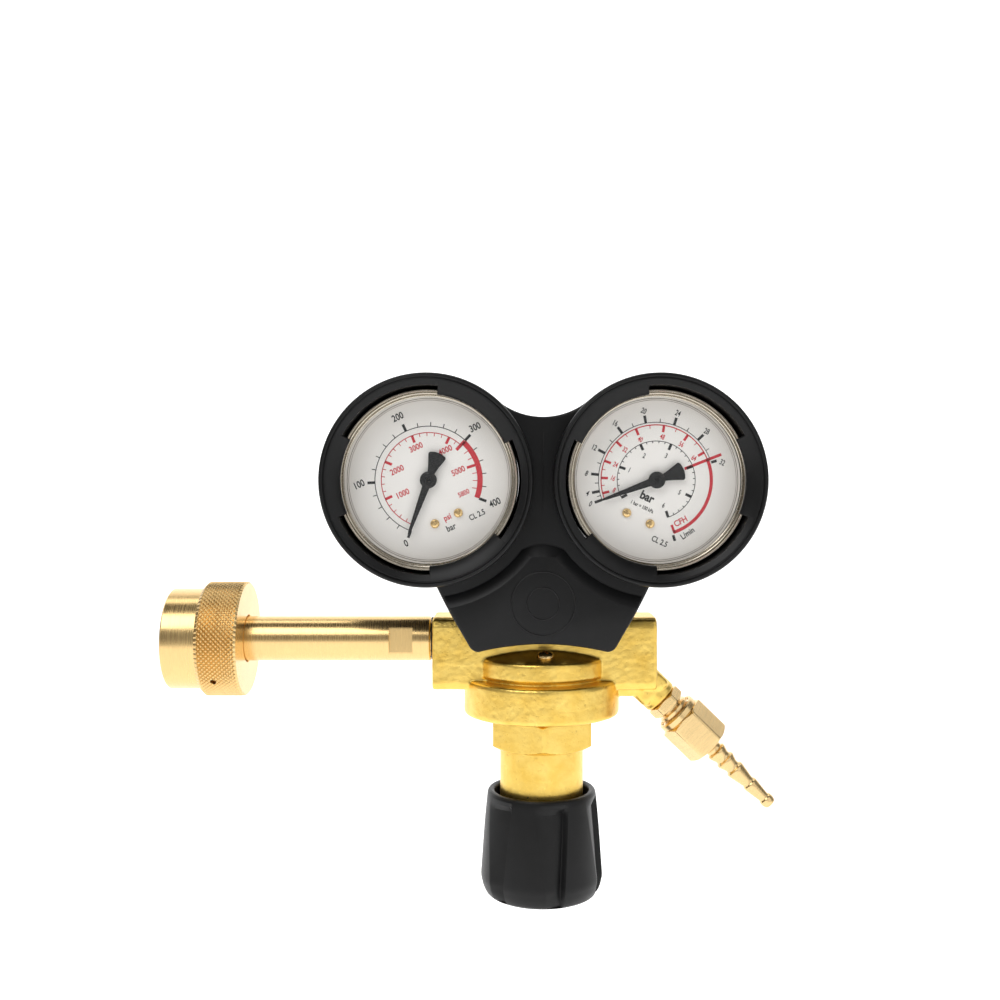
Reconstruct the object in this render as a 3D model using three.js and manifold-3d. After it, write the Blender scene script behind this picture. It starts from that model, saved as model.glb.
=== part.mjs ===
// Two-gauge gas pressure regulator for a 300 bar cylinder, in millimetres.
// The origin is the centre of the inlet nose's end face. +X runs along the inlet
// stem into the body, +Z is up, and the gauges face -Y.
import * as THREE from "three";
import { mergeVertices } from "three/addons/utils/BufferGeometryUtils.js";
import Module from "manifold-3d";

const wasm = await Module();
wasm.setup();

// Main layout
const BONNET_X = 127;
const GAUGE_OFFSET_X = 39.8;
const GAUGE_Z = 57.5;
const GAUGE_TILT = THREE.MathUtils.degToRad(25);
const OUTLET_TURN = THREE.MathUtils.degToRad(134.07);
const OUTLET_FACE_X = BONNET_X + 43.4;
const OUTLET_FACE_Z = -21.6;
const RELIEF_X = BONNET_X + 30;
const RELIEF_Z = -7;
const FIT_GAP = 0.3;
// Share of each round shape's nominal number of sides that is used
const ROUND_DETAIL = 0.42;

// Body forging
const ARM_LEFT = -39;
const ARM_RIGHT = 40.8;
const ARM_HALF_DEPTH = 11;
const ARM_TOP = 8.6;
const ARM_BOTTOM = -17.2;
const BOSS_RADIUS = 23.7;
const BOSS_TOP = -6.2;
const BOSS_CROWN = 4;
const BOSS_SCREW_Y = -16.5;
const BOSS_SCREW_LEAN = THREE.MathUtils.degToRad(15);
const NECK_RADIUS = 22.2;
const RING_RADIUS = 28;
const RING_TOP = -13.8;
const RING_BOTTOM = -26.6;
const CHAMBER_LEDGE = -18.5;
const CLAMP_RADIUS = 20.2;
const CHAMBER_RADIUS = 15;
const VALVE_BORE_RADIUS = 7.4;

// Bonnet, adjusting screw and knob
const BONNET_HEX_FLATS = 35;
const BONNET_HEX_TOP = -26.9;
const BONNET_HEX_BOTTOM = -38.6;
const BONNET_TUBE_RADIUS = 15;
const BONNET_END = -62;
const SPRING_BORE_RADIUS = 10.8;
const SCREW_RADIUS = 4.6;
const KNOB_TOP = -54.2;
const KNOB_BOTTOM = -91.7;
const KNOB_TOP_RADIUS = 19.7;
const KNOB_MOUTH_RADIUS = 17;
const KNOB_WIDEST_RADIUS = 22;
const KNOB_FLUTES = 6;

// Inlet stem and handwheel nut
const STEM_RADIUS = 8;
const STEM_FLATS = 13;
const FLANGE_RADIUS = 12.5;
const NOSE_RADIUS = 6.7;
const NUT_MOUTH_X = -6.7;
const NUT_BACK_X = 20.5;
const NUT_COLLAR_RADIUS = 18;
const NUT_GRIP_RADIUS = 20.5;
const NUT_GRIP_START_X = 5.8;
const NUT_BORE_RADIUS = 14.5;
const NUT_WALL = 4;

// Outlet fittings, measured along the outlet axis from the boss face
const OUTLET_HEX_FLATS = 12;
const UNION_HEX_FLATS = 16;
const UNION_START = 7;
const UNION_END = 24.3;
const HOSE_TAIL_END = 55.4;

// Gauges
const CASE_RADIUS = 31.5;
const CASE_WALL = 1.2;
const CASE_BACK_Y = 9.5;
const CASE_FRONT_Y = -19;
const DIAL_RADIUS = 29.6;
const DIAL_FRONT_Y = -15.4;
const DIAL_THICKNESS = 0.6;
const SOCKET_FLATS = 14;
const SECTOR_DROP = 11;

// Gauge guard
const GUARD_RADIUS = 36.5;
const GUARD_BORE_RADIUS = 32.2;
const GUARD_LIP_Y = -30;
const GUARD_BACK_Y = 6;
const WEB_FRONT_Y = -23;
const PAD_FRONT_Y = -26;
const SKIRT_BACK_Y = -12;
const SKIRT_WALL = 2.5;
const TAB_RADIUS = 29.3;
const LEFT_TABS_DEG = [[25, 83], [152, 203], [272, 322]];

const COLOURS = {
  forged: [0xd9a93a, 0.42, 1.0],
  machined: [0xe6c36e, 0.28, 1.0],
  steel: [0xb8bab8, 0.35, 1.0],
  blackPlastic: [0x0c0c0d, 0.45, 0.0],
  dialWhite: [0xf4f1ec, 0.6, 0.0],
  pointerBlack: [0x080808, 0.5, 0.0],
  window: [0xe9eef0, 0.08, 0.0],
  rubber: [0x17171a, 0.8, 0.0],
  casing: [0x2a2b2d, 0.5, 0.4],
  bronze: [0xa9814a, 0.7, 1.0],
};

const part = new THREE.Group();
part.name = "gas_regulator";

// ---------- helpers ----------

function weld(geometry) {
  const bare = geometry.index ? geometry.toNonIndexed() : geometry.clone();
  bare.deleteAttribute("normal");
  bare.deleteAttribute("uv");
  return mergeVertices(bare, 1e-4);
}

function solid(geometry) {
  const welded = weld(geometry);
  return new wasm.Manifold(new wasm.Mesh({
    numProp: 3,
    vertProperties: new Float32Array(welded.attributes.position.array),
    triVerts: new Uint32Array(welded.index.array),
  }));
}

function geometryOf(manifold) {
  const result = manifold.getMesh();
  const geometry = new THREE.BufferGeometry();
  geometry.setAttribute("position", new THREE.BufferAttribute(result.vertProperties, 3));
  geometry.setIndex(new THREE.BufferAttribute(result.triVerts, 1));
  return geometry;
}

function combine(base, added, removed) {
  let shape = solid(base);
  for (const geometry of added) shape = shape.add(solid(geometry));
  for (const geometry of removed) shape = shape.subtract(solid(geometry));
  return geometryOf(shape);
}

function cut(base, removed) {
  return combine(base, [], removed);
}

function node(name, geometry, look) {
  const [color, roughness, metalness] = COLOURS[look];
  const shape = geometry.index ? geometry.toNonIndexed() : geometry;
  shape.computeVertexNormals();
  const material = new THREE.MeshStandardMaterial({ color, roughness, metalness });
  const mesh = new THREE.Mesh(shape, material);
  mesh.name = name;
  part.add(mesh);
}

function box(minX, maxX, minY, maxY, minZ, maxZ) {
  const geometry = new THREE.BoxGeometry(maxX - minX, maxY - minY, maxZ - minZ);
  return geometry.translate((minX + maxX) / 2, (minY + maxY) / 2, (minZ + maxZ) / 2);
}

function sides(nominal) {
  return Math.max(8, 4 * Math.round((nominal * ROUND_DETAIL) / 4));
}

// A rod between two heights on the Z axis.
function rod(radius, low, high, segments = 24, topRadius = radius) {
  const count = sides(segments);
  const geometry = new THREE.CylinderGeometry(topRadius, radius, high - low, count);
  return geometry.rotateX(Math.PI / 2).translate(0, 0, (low + high) / 2);
}

// A profile of [radius, height] pairs turned about the Z axis.
function turned(profile, segments = 36) {
  const points = profile.map(([radius, height]) => new THREE.Vector2(radius, height));
  if (THREE.ShapeUtils.area(points) < 0) points.reverse();
  const [first, last] = [points[0], points[points.length - 1]];
  const onAxis = first.x === 0 && last.x === 0;
  if (!onAxis) points.push(first.clone());
  return new THREE.LatheGeometry(points, sides(segments)).rotateX(Math.PI / 2);
}

function tube(inner, outer, low, high, segments = 36) {
  return turned([[inner, low], [outer, low], [outer, high], [inner, high]], segments);
}

function hexagon(flats, low, high, firstCorner = 0) {
  const shape = new THREE.Shape();
  const corner = flats / Math.sqrt(3);
  for (let i = 0; i < 6; i += 1) {
    const angle = firstCorner + (i * Math.PI) / 3;
    shape.lineTo(corner * Math.cos(angle), corner * Math.sin(angle));
  }
  shape.curves.shift();
  shape.autoClose = true;
  return extruded(shape, low, high);
}

// A hexagon with both ends chamfered by a cone.
function chamferedHexagon(flats, low, high, firstCorner = 0) {
  const corner = flats / Math.sqrt(3);
  const chamfer = (corner - flats / 2) * 0.55;
  const envelope = turned([
    [0, low], [flats / 2 - 0.2, low], [corner + 0.1, low + chamfer],
    [corner + 0.1, high - chamfer], [flats / 2 - 0.2, high], [0, high],
  ], 48);
  return geometryOf(solid(hexagon(flats, low, high, firstCorner)).intersect(solid(envelope)));
}

function extruded(shape, low, high, curveSegments = 12) {
  const options = { depth: high - low, bevelEnabled: false, curveSegments };
  return new THREE.ExtrudeGeometry(shape, options).translate(0, 0, low);
}

function spring(radius, wire, low, high, turns, stepsPerTurn = 10, corners = 5) {
  const points = [];
  const steps = Math.round(turns * stepsPerTurn);
  for (let i = 0; i <= steps; i += 1) {
    const angle = (2 * Math.PI * i) / stepsPerTurn;
    const height = low + wire + ((high - low - 2 * wire) * i) / steps;
    points.push(new THREE.Vector3(radius * Math.cos(angle), radius * Math.sin(angle), height));
  }
  return sweep(points, wire, wire, corners);
}

// A closed rod of oval section swept through a row of points.
function sweep(points, halfWide, halfHigh, corners = 8) {
  const section = new THREE.Shape();
  section.absellipse(0, 0, halfWide, halfHigh, 0, 2 * Math.PI);
  const outline = new THREE.Shape(section.getSpacedPoints(corners).slice(0, corners));
  const path = new THREE.CatmullRomCurve3(points);
  const options = { steps: points.length - 1, bevelEnabled: false, extrudePath: path };
  return new THREE.ExtrudeGeometry(outline, options);
}

// Placement of the working axes
function alongX(geometry) {
  return geometry.rotateY(Math.PI / 2);
}

function alongY(geometry) {
  return geometry.rotateX(-Math.PI / 2);
}

function onBonnetAxis(geometry) {
  return geometry.translate(BONNET_X, 0, 0);
}

function onOutletAxis(geometry) {
  return geometry.rotateY(OUTLET_TURN).translate(OUTLET_FACE_X, 0, OUTLET_FACE_Z);
}

function onReliefAxis(geometry) {
  return alongY(geometry).translate(RELIEF_X, 0, RELIEF_Z);
}

// side is -1 for the left gauge and +1 for the right one.
function onGauge(geometry, side) {
  const x = BONNET_X + side * GAUGE_OFFSET_X;
  return geometry.rotateY(side * GAUGE_TILT).translate(x, 0, GAUGE_Z);
}

// A rod that hangs below a gauge centre, between two distances from it.
function belowGauge(radius, near, far, side, segments = 24) {
  return onGauge(rod(radius, -far, -near, segments), side);
}

// ---------- body ----------

function armBlock() {
  const shape = new THREE.Shape();
  const topRound = 3;
  const lowRound = 2.5;
  const deep = ARM_HALF_DEPTH;
  shape.moveTo(-deep + lowRound, ARM_BOTTOM);
  shape.lineTo(deep - lowRound, ARM_BOTTOM);
  shape.absarc(deep - lowRound, ARM_BOTTOM + lowRound, lowRound, -Math.PI / 2, 0, false);
  shape.absarc(deep - topRound, ARM_TOP - topRound, topRound, 0, Math.PI / 2, false);
  shape.absarc(-deep + topRound, ARM_TOP - topRound, topRound, Math.PI / 2, Math.PI, false);
  shape.absarc(-deep + lowRound, ARM_BOTTOM + lowRound, lowRound, Math.PI, Math.PI * 1.5, false);
  const block = extruded(shape, ARM_LEFT, ARM_RIGHT, 4);
  return onBonnetAxis(block.rotateZ(Math.PI / 2).rotateY(Math.PI / 2));
}

// Height of the boss's domed top at a distance from the bonnet axis.
function bossTopAt(radius) {
  return BOSS_TOP + BOSS_CROWN * (1 - (radius / BOSS_RADIUS) ** 2);
}

function onBossScrewSeat(geometry) {
  const leaning = geometry.rotateX(BOSS_SCREW_LEAN);
  return onBonnetAxis(leaning.translate(1, BOSS_SCREW_Y, bossTopAt(BOSS_SCREW_Y)));
}

function bodyBarrel() {
  const dome = [0, 8, 12, 16, 20, 23].map((radius) => [radius, bossTopAt(radius)]);
  return onBonnetAxis(turned([
    ...dome, [BOSS_RADIUS, BOSS_TOP - 0.8], [BOSS_RADIUS, -12], [NECK_RADIUS, -12.6],
    [NECK_RADIUS, -13.8], [RING_RADIUS - 1.2, RING_TOP], [RING_RADIUS, RING_TOP - 1.2],
    [RING_RADIUS, RING_BOTTOM + 0.8], [RING_RADIUS - 0.8, RING_BOTTOM], [0, RING_BOTTOM],
  ], 56));
}

function buildBody() {
  const added = [
    bodyBarrel(),
    onOutletAxis(turned([[0, -19], [6.5, -19], [6.5, -0.9], [5.6, 0], [0, 0]], 28)),
    onBonnetAxis(box(24, 38, -7, 7, -20.2, -12)),
    belowGauge(9, 50.5, 58, -1, 28),
    belowGauge(9, 50.5, 58, 1, 28),
  ];
  const removed = [
    onBonnetAxis(rod(CLAMP_RADIUS, RING_BOTTOM - 1, CHAMBER_LEDGE, 48)),
    onBonnetAxis(rod(CHAMBER_RADIUS, RING_BOTTOM, -16, 36)),
    onBonnetAxis(rod(VALVE_BORE_RADIUS, -17, 4.5, 28)),
    alongX(rod(6.8, BONNET_X + ARM_LEFT - 1, BONNET_X - 25, 24)),
    alongX(rod(2.4, BONNET_X - 26, BONNET_X - 5, 16)),
    belowGauge(6.1, 50, 60, -1),
    belowGauge(1.6, 59, 64, -1, 12),
    belowGauge(6.1, 50, 60, 1),
    onBonnetAxis(rod(2, -17, 5, 12).translate(12.5, 0, 0)),
    onOutletAxis(rod(4.8, -9, 1)),
    onOutletAxis(rod(2.5, -36, -8, 16)),
    onReliefAxis(rod(5.1, 4.5, ARM_HALF_DEPTH + 1)),
    onReliefAxis(rod(1.5, 0, 5, 12)),
    onBossScrewSeat(rod(1.9, -7, 1, 16)),
  ];
  node("body", combine(armBlock(), added, removed), "forged");
}

function buildBossScrew() {
  const screw = turned([
    [0, -6.4], [1.5, -6.4], [1.5, FIT_GAP], [2.95, FIT_GAP], [2.95, 0.9], [2, 1.6], [0, 1.9],
  ], 24);
  const recess = [
    box(-1.7, 1.7, -0.4, 0.4, 0.8, 3),
    box(-0.4, 0.4, -1.7, 1.7, 0.8, 3),
  ];
  node("boss_screw", onBossScrewSeat(cut(screw, recess)), "machined");
}

// ---------- bonnet and knob ----------

function buildBonnet() {
  const hex = chamferedHexagon(BONNET_HEX_FLATS, BONNET_HEX_BOTTOM, BONNET_HEX_TOP, Math.PI / 2);
  const shell = combine(hex, [
    rod(CLAMP_RADIUS - 0.4, BONNET_HEX_TOP - 0.01, -21.2, 40),
    rod(BONNET_TUBE_RADIUS, BONNET_END, BONNET_HEX_BOTTOM + 1, 40),
  ], [
    rod(14, -24.4, -20, 32),
    rod(SPRING_BORE_RADIUS, -55, -24, 32),
    rod(SCREW_RADIUS + FIT_GAP, BONNET_END - 1, -54, 24),
  ]);
  node("bonnet", onBonnetAxis(shell), "forged");
}

// A tilted scoop that is wide at the knob's mouth and narrow at its foot.
function knobFlute(index) {
  const scoop = rod(9, KNOB_BOTTOM - 12, KNOB_TOP + 4, 20);
  scoop.rotateY(THREE.MathUtils.degToRad(1.2)).translate(28.1, 0, 0);
  const front = -Math.PI / 2 + THREE.MathUtils.degToRad(11.5);
  return scoop.rotateZ(front + (index * 2 * Math.PI) / KNOB_FLUTES);
}

function buildKnob() {
  const shell = turned([
    [0, KNOB_BOTTOM + 0.6], [12.6, KNOB_BOTTOM + 0.6], [12.6, KNOB_BOTTOM],
    [18.6, KNOB_BOTTOM], [20.8, -89.5], [21.6, -87], [KNOB_WIDEST_RADIUS, -84.5],
    [21.3, -74], [20.4, -62], [KNOB_TOP_RADIUS, -56], [19.2, KNOB_TOP + 0.3],
    [18.4, KNOB_TOP], [17.5, KNOB_TOP + 0.2], [KNOB_MOUTH_RADIUS, -55],
    [KNOB_MOUTH_RADIUS, -70], [0, -70],
  ], 48);
  const removed = [
    rod(SCREW_RADIUS + FIT_GAP, -82.3, -60, 24),
    rod(2.4, -86, -80, 16),
    rod(10.3, KNOB_BOTTOM - 1, -85.5, 28),
  ];
  for (let i = 0; i < KNOB_FLUTES; i += 1) removed.push(knobFlute(i));
  node("knob", onBonnetAxis(cut(shell, removed)), "blackPlastic");
  const screw = cut(rod(SCREW_RADIUS, -82, -47.6, 24), [rod(2.3, -83, -73, 16)]);
  node("adjusting_screw", onBonnetAxis(screw), "steel");
  const fixing = turned([
    [0, -87.8], [4, -87.8], [4, -85.8], [2, -85.8], [2, -74], [0, -74],
  ], 20);
  node("knob_fixing_screw", onBonnetAxis(fixing), "steel");
  const cap = turned([
    [0, -91.9], [9.2, -91.9], [10, -91.2], [10, -88.4], [0, -88.4],
  ], 28);
  node("knob_end_cap", onBonnetAxis(cap), "blackPlastic");
}

function buildSpringStack() {
  const button = turned([
    [0, -47.3], [2.4, -47.3], [9.6, -46.8], [9.6, -44.6], [5.4, -44.6], [5.4, -42.4], [0, -42.4],
  ], 28);
  node("spring_button", onBonnetAxis(button), "machined");
  node("main_spring", onBonnetAxis(spring(8, 1.15, -44.3, -21.9, 5, 12)), "steel");
  const plate = turned([
    [0, -24.4], [5, -24.4], [5, -21.6], [12.2, -21.6], [12.2, -20], [0, -20],
  ], 28);
  node("diaphragm_plate", onBonnetAxis(plate), "machined");
  const sheet = turned([
    [0, -19.7], [19.8, -19.7], [19.8, -18.8], [0, -18.8],
  ], 40);
  node("diaphragm", onBonnetAxis(sheet), "rubber");
  node("slip_ring", onBonnetAxis(tube(14.2, 19.7, -20.9, -20, 40)), "machined");
}

function buildValve() {
  const pin = turned([
    [0, -18.5], [3, -18.5], [3, -17.2], [1.1, -17.2], [1.1, -7.1], [0, -7.1],
  ], 16);
  node("push_pin", onBonnetAxis(pin), "steel");
  const nozzle = turned([
    [1.6, -15.6], [7, -15.6], [7, -8.8], [3.2, -8.8], [2.6, -7.6], [1.6, -7.6],
  ], 24);
  node("valve_nozzle", onBonnetAxis(nozzle), "machined");
  const poppet = turned([
    [0, -6.8], [3.4, -6.8], [3.4, -3.6], [1.4, -3.6], [1.4, -1.6], [0, -1.6],
  ], 20);
  node("poppet", onBonnetAxis(poppet), "machined");
  node("poppet_spring", onBonnetAxis(spring(2.5, 0.35, -3.3, 4.2, 4, 8)), "steel");
}

// ---------- relief valve on the back of the body ----------

function buildReliefValve() {
  const hex = chamferedHexagon(14, ARM_HALF_DEPTH + FIT_GAP, 16, 0);
  const shell = combine(hex, [rod(4.7, 5, 12), rod(5.5, 15, 24)], [
    rod(3.5, 6.5, 25),
    rod(1.2, 4, 7, 12),
  ]);
  node("relief_body", onReliefAxis(shell), "machined");
  const poppet = turned([[0, 6.9], [3, 6.9], [3, 8.7], [1, 8.7], [1, 12.5], [0, 12.5]], 16);
  node("relief_poppet", onReliefAxis(poppet), "machined");
  node("relief_spring", onReliefAxis(spring(2.3, 0.35, 9, 20, 5, 8)), "steel");
  const cap = tube(1.1, 3.2, 20.3, 23.7, 20);
  node("relief_cap", onReliefAxis(cap), "machined");
}

// ---------- inlet ----------

function buildInlet() {
  const end = BONNET_X + ARM_LEFT;
  const stem = turned([
    [0, 0], [NOSE_RADIUS - 0.6, 0], [NOSE_RADIUS, 0.8], [NOSE_RADIUS, 2.6], [5.5, 2.6],
    [5.5, 5.2], [NOSE_RADIUS, 5.2], [7.9, 7], [7.9, 11.4], [FLANGE_RADIUS, 11.4],
    [FLANGE_RADIUS, 14.4], [STEM_RADIUS, 14.4], [STEM_RADIUS, end - 1], [6.4, end - 1],
    [6.4, end + 12.5], [0, end + 12.5],
  ], 36);
  const flatStart = end - 15.7;
  const flatEnd = end - 7.3;
  const shaped = cut(alongX(stem), [
    box(flatStart, flatEnd, STEM_FLATS / 2, 12, -12, 12),
    box(flatStart, flatEnd, -12, -STEM_FLATS / 2, -12, 12),
    alongX(rod(2, -1, end + 14, 16)),
    alongX(rod(4.3, -1, 11, 20)),
  ]);
  node("inlet_stem", shaped, "machined");
  node("inlet_filter", alongX(cut(rod(3.9, 0.6, 10.6, 20), [rod(1.6, 2.4, 12, 12)])), "bronze");
  node("nose_o_ring", alongX(new THREE.TorusGeometry(6.4, 0.7, 6, 20).translate(0, 0, 3.9)), "rubber");
  const gasket = tube(6.75, 7.8, end - 0.7, end - 0.3, 32);
  node("stem_gasket", alongX(gasket), "rubber");
}

function buildHandwheelNut() {
  const shell = turned([
    [NUT_BORE_RADIUS, NUT_MOUTH_X + 1], [NUT_BORE_RADIUS + 1, NUT_MOUTH_X],
    [NUT_COLLAR_RADIUS - 0.6, NUT_MOUTH_X], [NUT_COLLAR_RADIUS, NUT_MOUTH_X + 0.6],
    [NUT_COLLAR_RADIUS, NUT_GRIP_START_X], [NUT_GRIP_RADIUS - 1, NUT_GRIP_START_X],
    [NUT_GRIP_RADIUS, NUT_GRIP_START_X + 1], [NUT_GRIP_RADIUS, NUT_BACK_X - 0.8],
    [NUT_GRIP_RADIUS - 0.8, NUT_BACK_X], [STEM_RADIUS + 0.4, NUT_BACK_X],
    [STEM_RADIUS + 0.4, NUT_BACK_X - NUT_WALL], [NUT_BORE_RADIUS, NUT_BACK_X - NUT_WALL],
  ], 48);
  const ventHole = rod(0.9, -24, -12, 12).rotateX(-0.6).translate(13.5, 0, 0);
  node("handwheel_nut", cut(alongX(shell), [ventHole]), "machined");
  const washer = tube(STEM_RADIUS + 0.4, FLANGE_RADIUS, 14.7, 16.2, 32);
  node("thrust_washer", alongX(washer), "steel");
}

// ---------- outlet ----------

function buildOutlet() {
  const hex = chamferedHexagon(OUTLET_HEX_FLATS, 0.4, 4.3, 0);
  const nipple = combine(hex, [
    rod(4.4, -8.6, 1),
    turned([[0, 4], [4.5, 4], [4.5, 5.6], [6, 5.6], [6, 6.7], [5, 6.7], [5, 7.4], [6.3, 7.4],
      [6.3, 15.4], [0, 15.4]], 28),
  ], [rod(1.9, -10, 13, 16), rod(1.9, 12.9, 16, 16, 4.4)]);
  node("outlet_nipple", onOutletAxis(nipple), "machined");
  node("flow_orifice", onOutletAxis(tube(0.5, 1.6, -7.5, -4.5, 16)), "machined");
  const union = combine(chamferedHexagon(UNION_HEX_FLATS, UNION_START + 2.4, UNION_END, 0), [
    turned([[0, UNION_START], [7.2, UNION_START], [7.9, UNION_START + 0.7],
      [7.9, UNION_START + 3], [0, UNION_START + 3]], 32),
  ], [
    rod(6.6, UNION_START - 1, 21.3, 28),
    rod(3.9, 20, UNION_END + 1, 20),
  ]);
  node("union_nut", onOutletAxis(union), "machined");
  const tail = turned([
    [1.2, 15.9], [3.9, 15.9], [6.2, 18.3], [6.2, 20.9], [3.4, 20.9], [3.4, 25], [3.05, 25.4],
    [3.05, 27.6], [3.6, 27.9], [3.6, 28.3], [2.75, 35.4], [3.2, 35.7], [3.2, 36.2],
    [2.4, 44.1], [2.75, 44.4], [2.75, 44.9], [2.1, 52.2], [2.4, 52.5], [2.4, 53.2],
    [2.2, HOSE_TAIL_END - 0.2], [2, HOSE_TAIL_END], [1.2, HOSE_TAIL_END],
  ], 24);
  node("hose_tail", onOutletAxis(tail), "machined");
}

// ---------- gauges ----------

// Turns a shape drawn in X and Z into a plate between two depths on Y.
function plate(shape, front, back, curveSegments = 6) {
  const geometry = extruded(shape, -back, -front, curveSegments);
  return geometry.rotateX(Math.PI / 2);
}

function faceRod(radius, front, back, x = 0, z = 0, segments = 24) {
  return alongY(rod(radius, front, back, segments)).translate(x, 0, z);
}

function caseGeometry() {
  const inner = CASE_RADIUS - CASE_WALL;
  const cup = turned([
    [0, CASE_BACK_Y - 1.5], [inner, CASE_BACK_Y - 1.5], [inner, CASE_FRONT_Y],
    [CASE_RADIUS, CASE_FRONT_Y], [CASE_RADIUS, CASE_BACK_Y - 1.5],
    [CASE_RADIUS - 1.5, CASE_BACK_Y], [0, CASE_BACK_Y],
  ], 48);
  return cut(alongY(cup.scale(1, 1, 1)), [
    rod(7, -36, -28, 24),
    faceRod(5.3, 6, 12, 0, 12),
  ]);
}

function socketGeometry() {
  const hex = chamferedHexagon(SOCKET_FLATS, -49, -33.4, Math.PI / 6);
  return combine(hex, [
    rod(6.3, -34, -28.2, 24),
    box(-5.5, 5.5, -8, 2, -28.8, -21.8),
    box(-3, 3, -3, 0.5, -22.4, -15.8),
    rod(5.7, -58.4, -48, 24),
  ], [rod(1.5, -60, -25, 12)]);
}

function bourdonGeometry() {
  const radius = 20.4;
  const points = [];
  const steps = 20;
  for (let i = 0; i <= steps; i += 1) {
    const angle = THREE.MathUtils.degToRad(257 - (262 * i) / steps);
    points.push(new THREE.Vector3(radius * Math.cos(angle), -5.5, radius * Math.sin(angle)));
  }
  return sweep(points, 2.2, 0.9, 8);
}

function movementGeometry() {
  const front = box(-6.5, 6.5, -13.6, -12.4, -18.4, 5.2);
  const back = box(-6.5, 6.5, -4.6, -3.4, -18.4, 5.2);
  const posts = [];
  for (const x of [-5.6, 5.6]) {
    for (const z of [4.3, -17.5]) posts.push(faceRod(0.8, -13, -4, x, z, 10));
  }
  const holes = [faceRod(1.15, -15, -2), faceRod(1.15, -15, -2, 0, -SECTOR_DROP)];
  for (const x of [-4.5, 4.5]) holes.push(faceRod(1.15, -15, -10, x, -14.8, 12));
  return combine(front, [back, ...posts], holes);
}

// The sector gear starts 15 degrees to one side of its middle position.
function sectorGeometry() {
  const shape = new THREE.Shape();
  const middle = Math.PI / 2 - THREE.MathUtils.degToRad(15);
  const half = THREE.MathUtils.degToRad(17);
  shape.absarc(0, 0, 9.7, middle - half, middle + half, false);
  shape.lineTo(0, 0);
  shape.closePath();
  const fan = plate(shape, -8.6, -7.4);
  const tail = box(-0.9, 0.9, -8.5, -7.5, -4.6, 1).rotateY(THREE.MathUtils.degToRad(15));
  const hub = faceRod(1.6, -9, -7, 0, 0, 16);
  const pivot = faceRod(0.85, -13.4, -3.6, 0, 0, 12);
  return combine(fan, [tail, hub, pivot], []).translate(0, 0, -SECTOR_DROP);
}

function pointerGeometry() {
  const blade = new THREE.Shape();
  blade.moveTo(-1.1, 0);
  blade.lineTo(-0.35, 19.5);
  blade.lineTo(0, 20.5);
  blade.lineTo(0.35, 19.5);
  blade.lineTo(1.1, 0);
  blade.lineTo(2, -9.4);
  blade.quadraticCurveTo(0, -10.8, -2, -9.4);
  blade.closePath();
  const needle = plate(blade, -17.6, -17);
  const atZero = -THREE.MathUtils.degToRad(135);
  return combine(needle, [faceRod(2.9, -18.4, -16.6)], [faceRod(1.05, -17.9, -16)]).rotateY(atZero);
}

function windowGeometry() {
  const profile = [
    [0, -20.4], [29.4, -20.4], [29.8, -19.3], [31.4, -19.3], [31.4, -22.8], [31, -23.4],
    [28.9, -23.4], [28.3, -22.4], [0, -22.4],
  ];
  return alongY(turned(profile, 48));
}

function dialScrewGeometry(x) {
  const head = faceRod(1.6, -16.5, DIAL_FRONT_Y - FIT_GAP, x, -14.8, 16);
  const slot = box(x - 2, x + 2, -17, -16.2, -15, -14.6);
  return combine(head, [faceRod(0.8, -16, -12.5, x, -14.8, 12)], [slot]);
}

function buildGauge(prefix, side) {
  const place = (name, geometry, look) => node(`${prefix}_${name}`, onGauge(geometry, side), look);
  place("gauge_case", caseGeometry(), "casing");
  place("gauge_socket", socketGeometry(), "machined");
  place("socket_gasket", tube(6.1, 7.4, -50.2, -49.3, 24), "steel");
  place("bourdon_tube", bourdonGeometry(), "bronze");
  place("movement_frame", movementGeometry(), "machined");
  place("sector_gear", sectorGeometry(), "machined");
  const arbor = faceRod(0.8, -17.6, -3.6, 0, 0, 12);
  place("pinion_arbor", combine(arbor, [faceRod(1, -9, -7, 0, 0, 12)], []), "machined");
  const backY = DIAL_FRONT_Y + DIAL_THICKNESS;
  const holes = [faceRod(1.3, -17, -13)];
  for (const x of [-4.5, 4.5]) holes.push(faceRod(1.1, -17, -13, x, -14.8, 12));
  place("dial", cut(faceRod(DIAL_RADIUS, DIAL_FRONT_Y, backY, 0, 0, 48), holes), "dialWhite");
  place("dial_screw_left", dialScrewGeometry(-4.5), "machined");
  place("dial_screw_right", dialScrewGeometry(4.5), "machined");
  place("pointer", pointerGeometry(), "pointerBlack");
  place("window", windowGeometry(), "window");
  const plug = turned([[0, 7.6], [4.9, 7.6], [4.9, 9.9], [6.4, 9.9], [6, 11], [0, 11]], 24);
  place("blowout_plug", alongY(plug).translate(0, 0, 12), "rubber");
}

// ---------- gauge guard ----------

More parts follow.
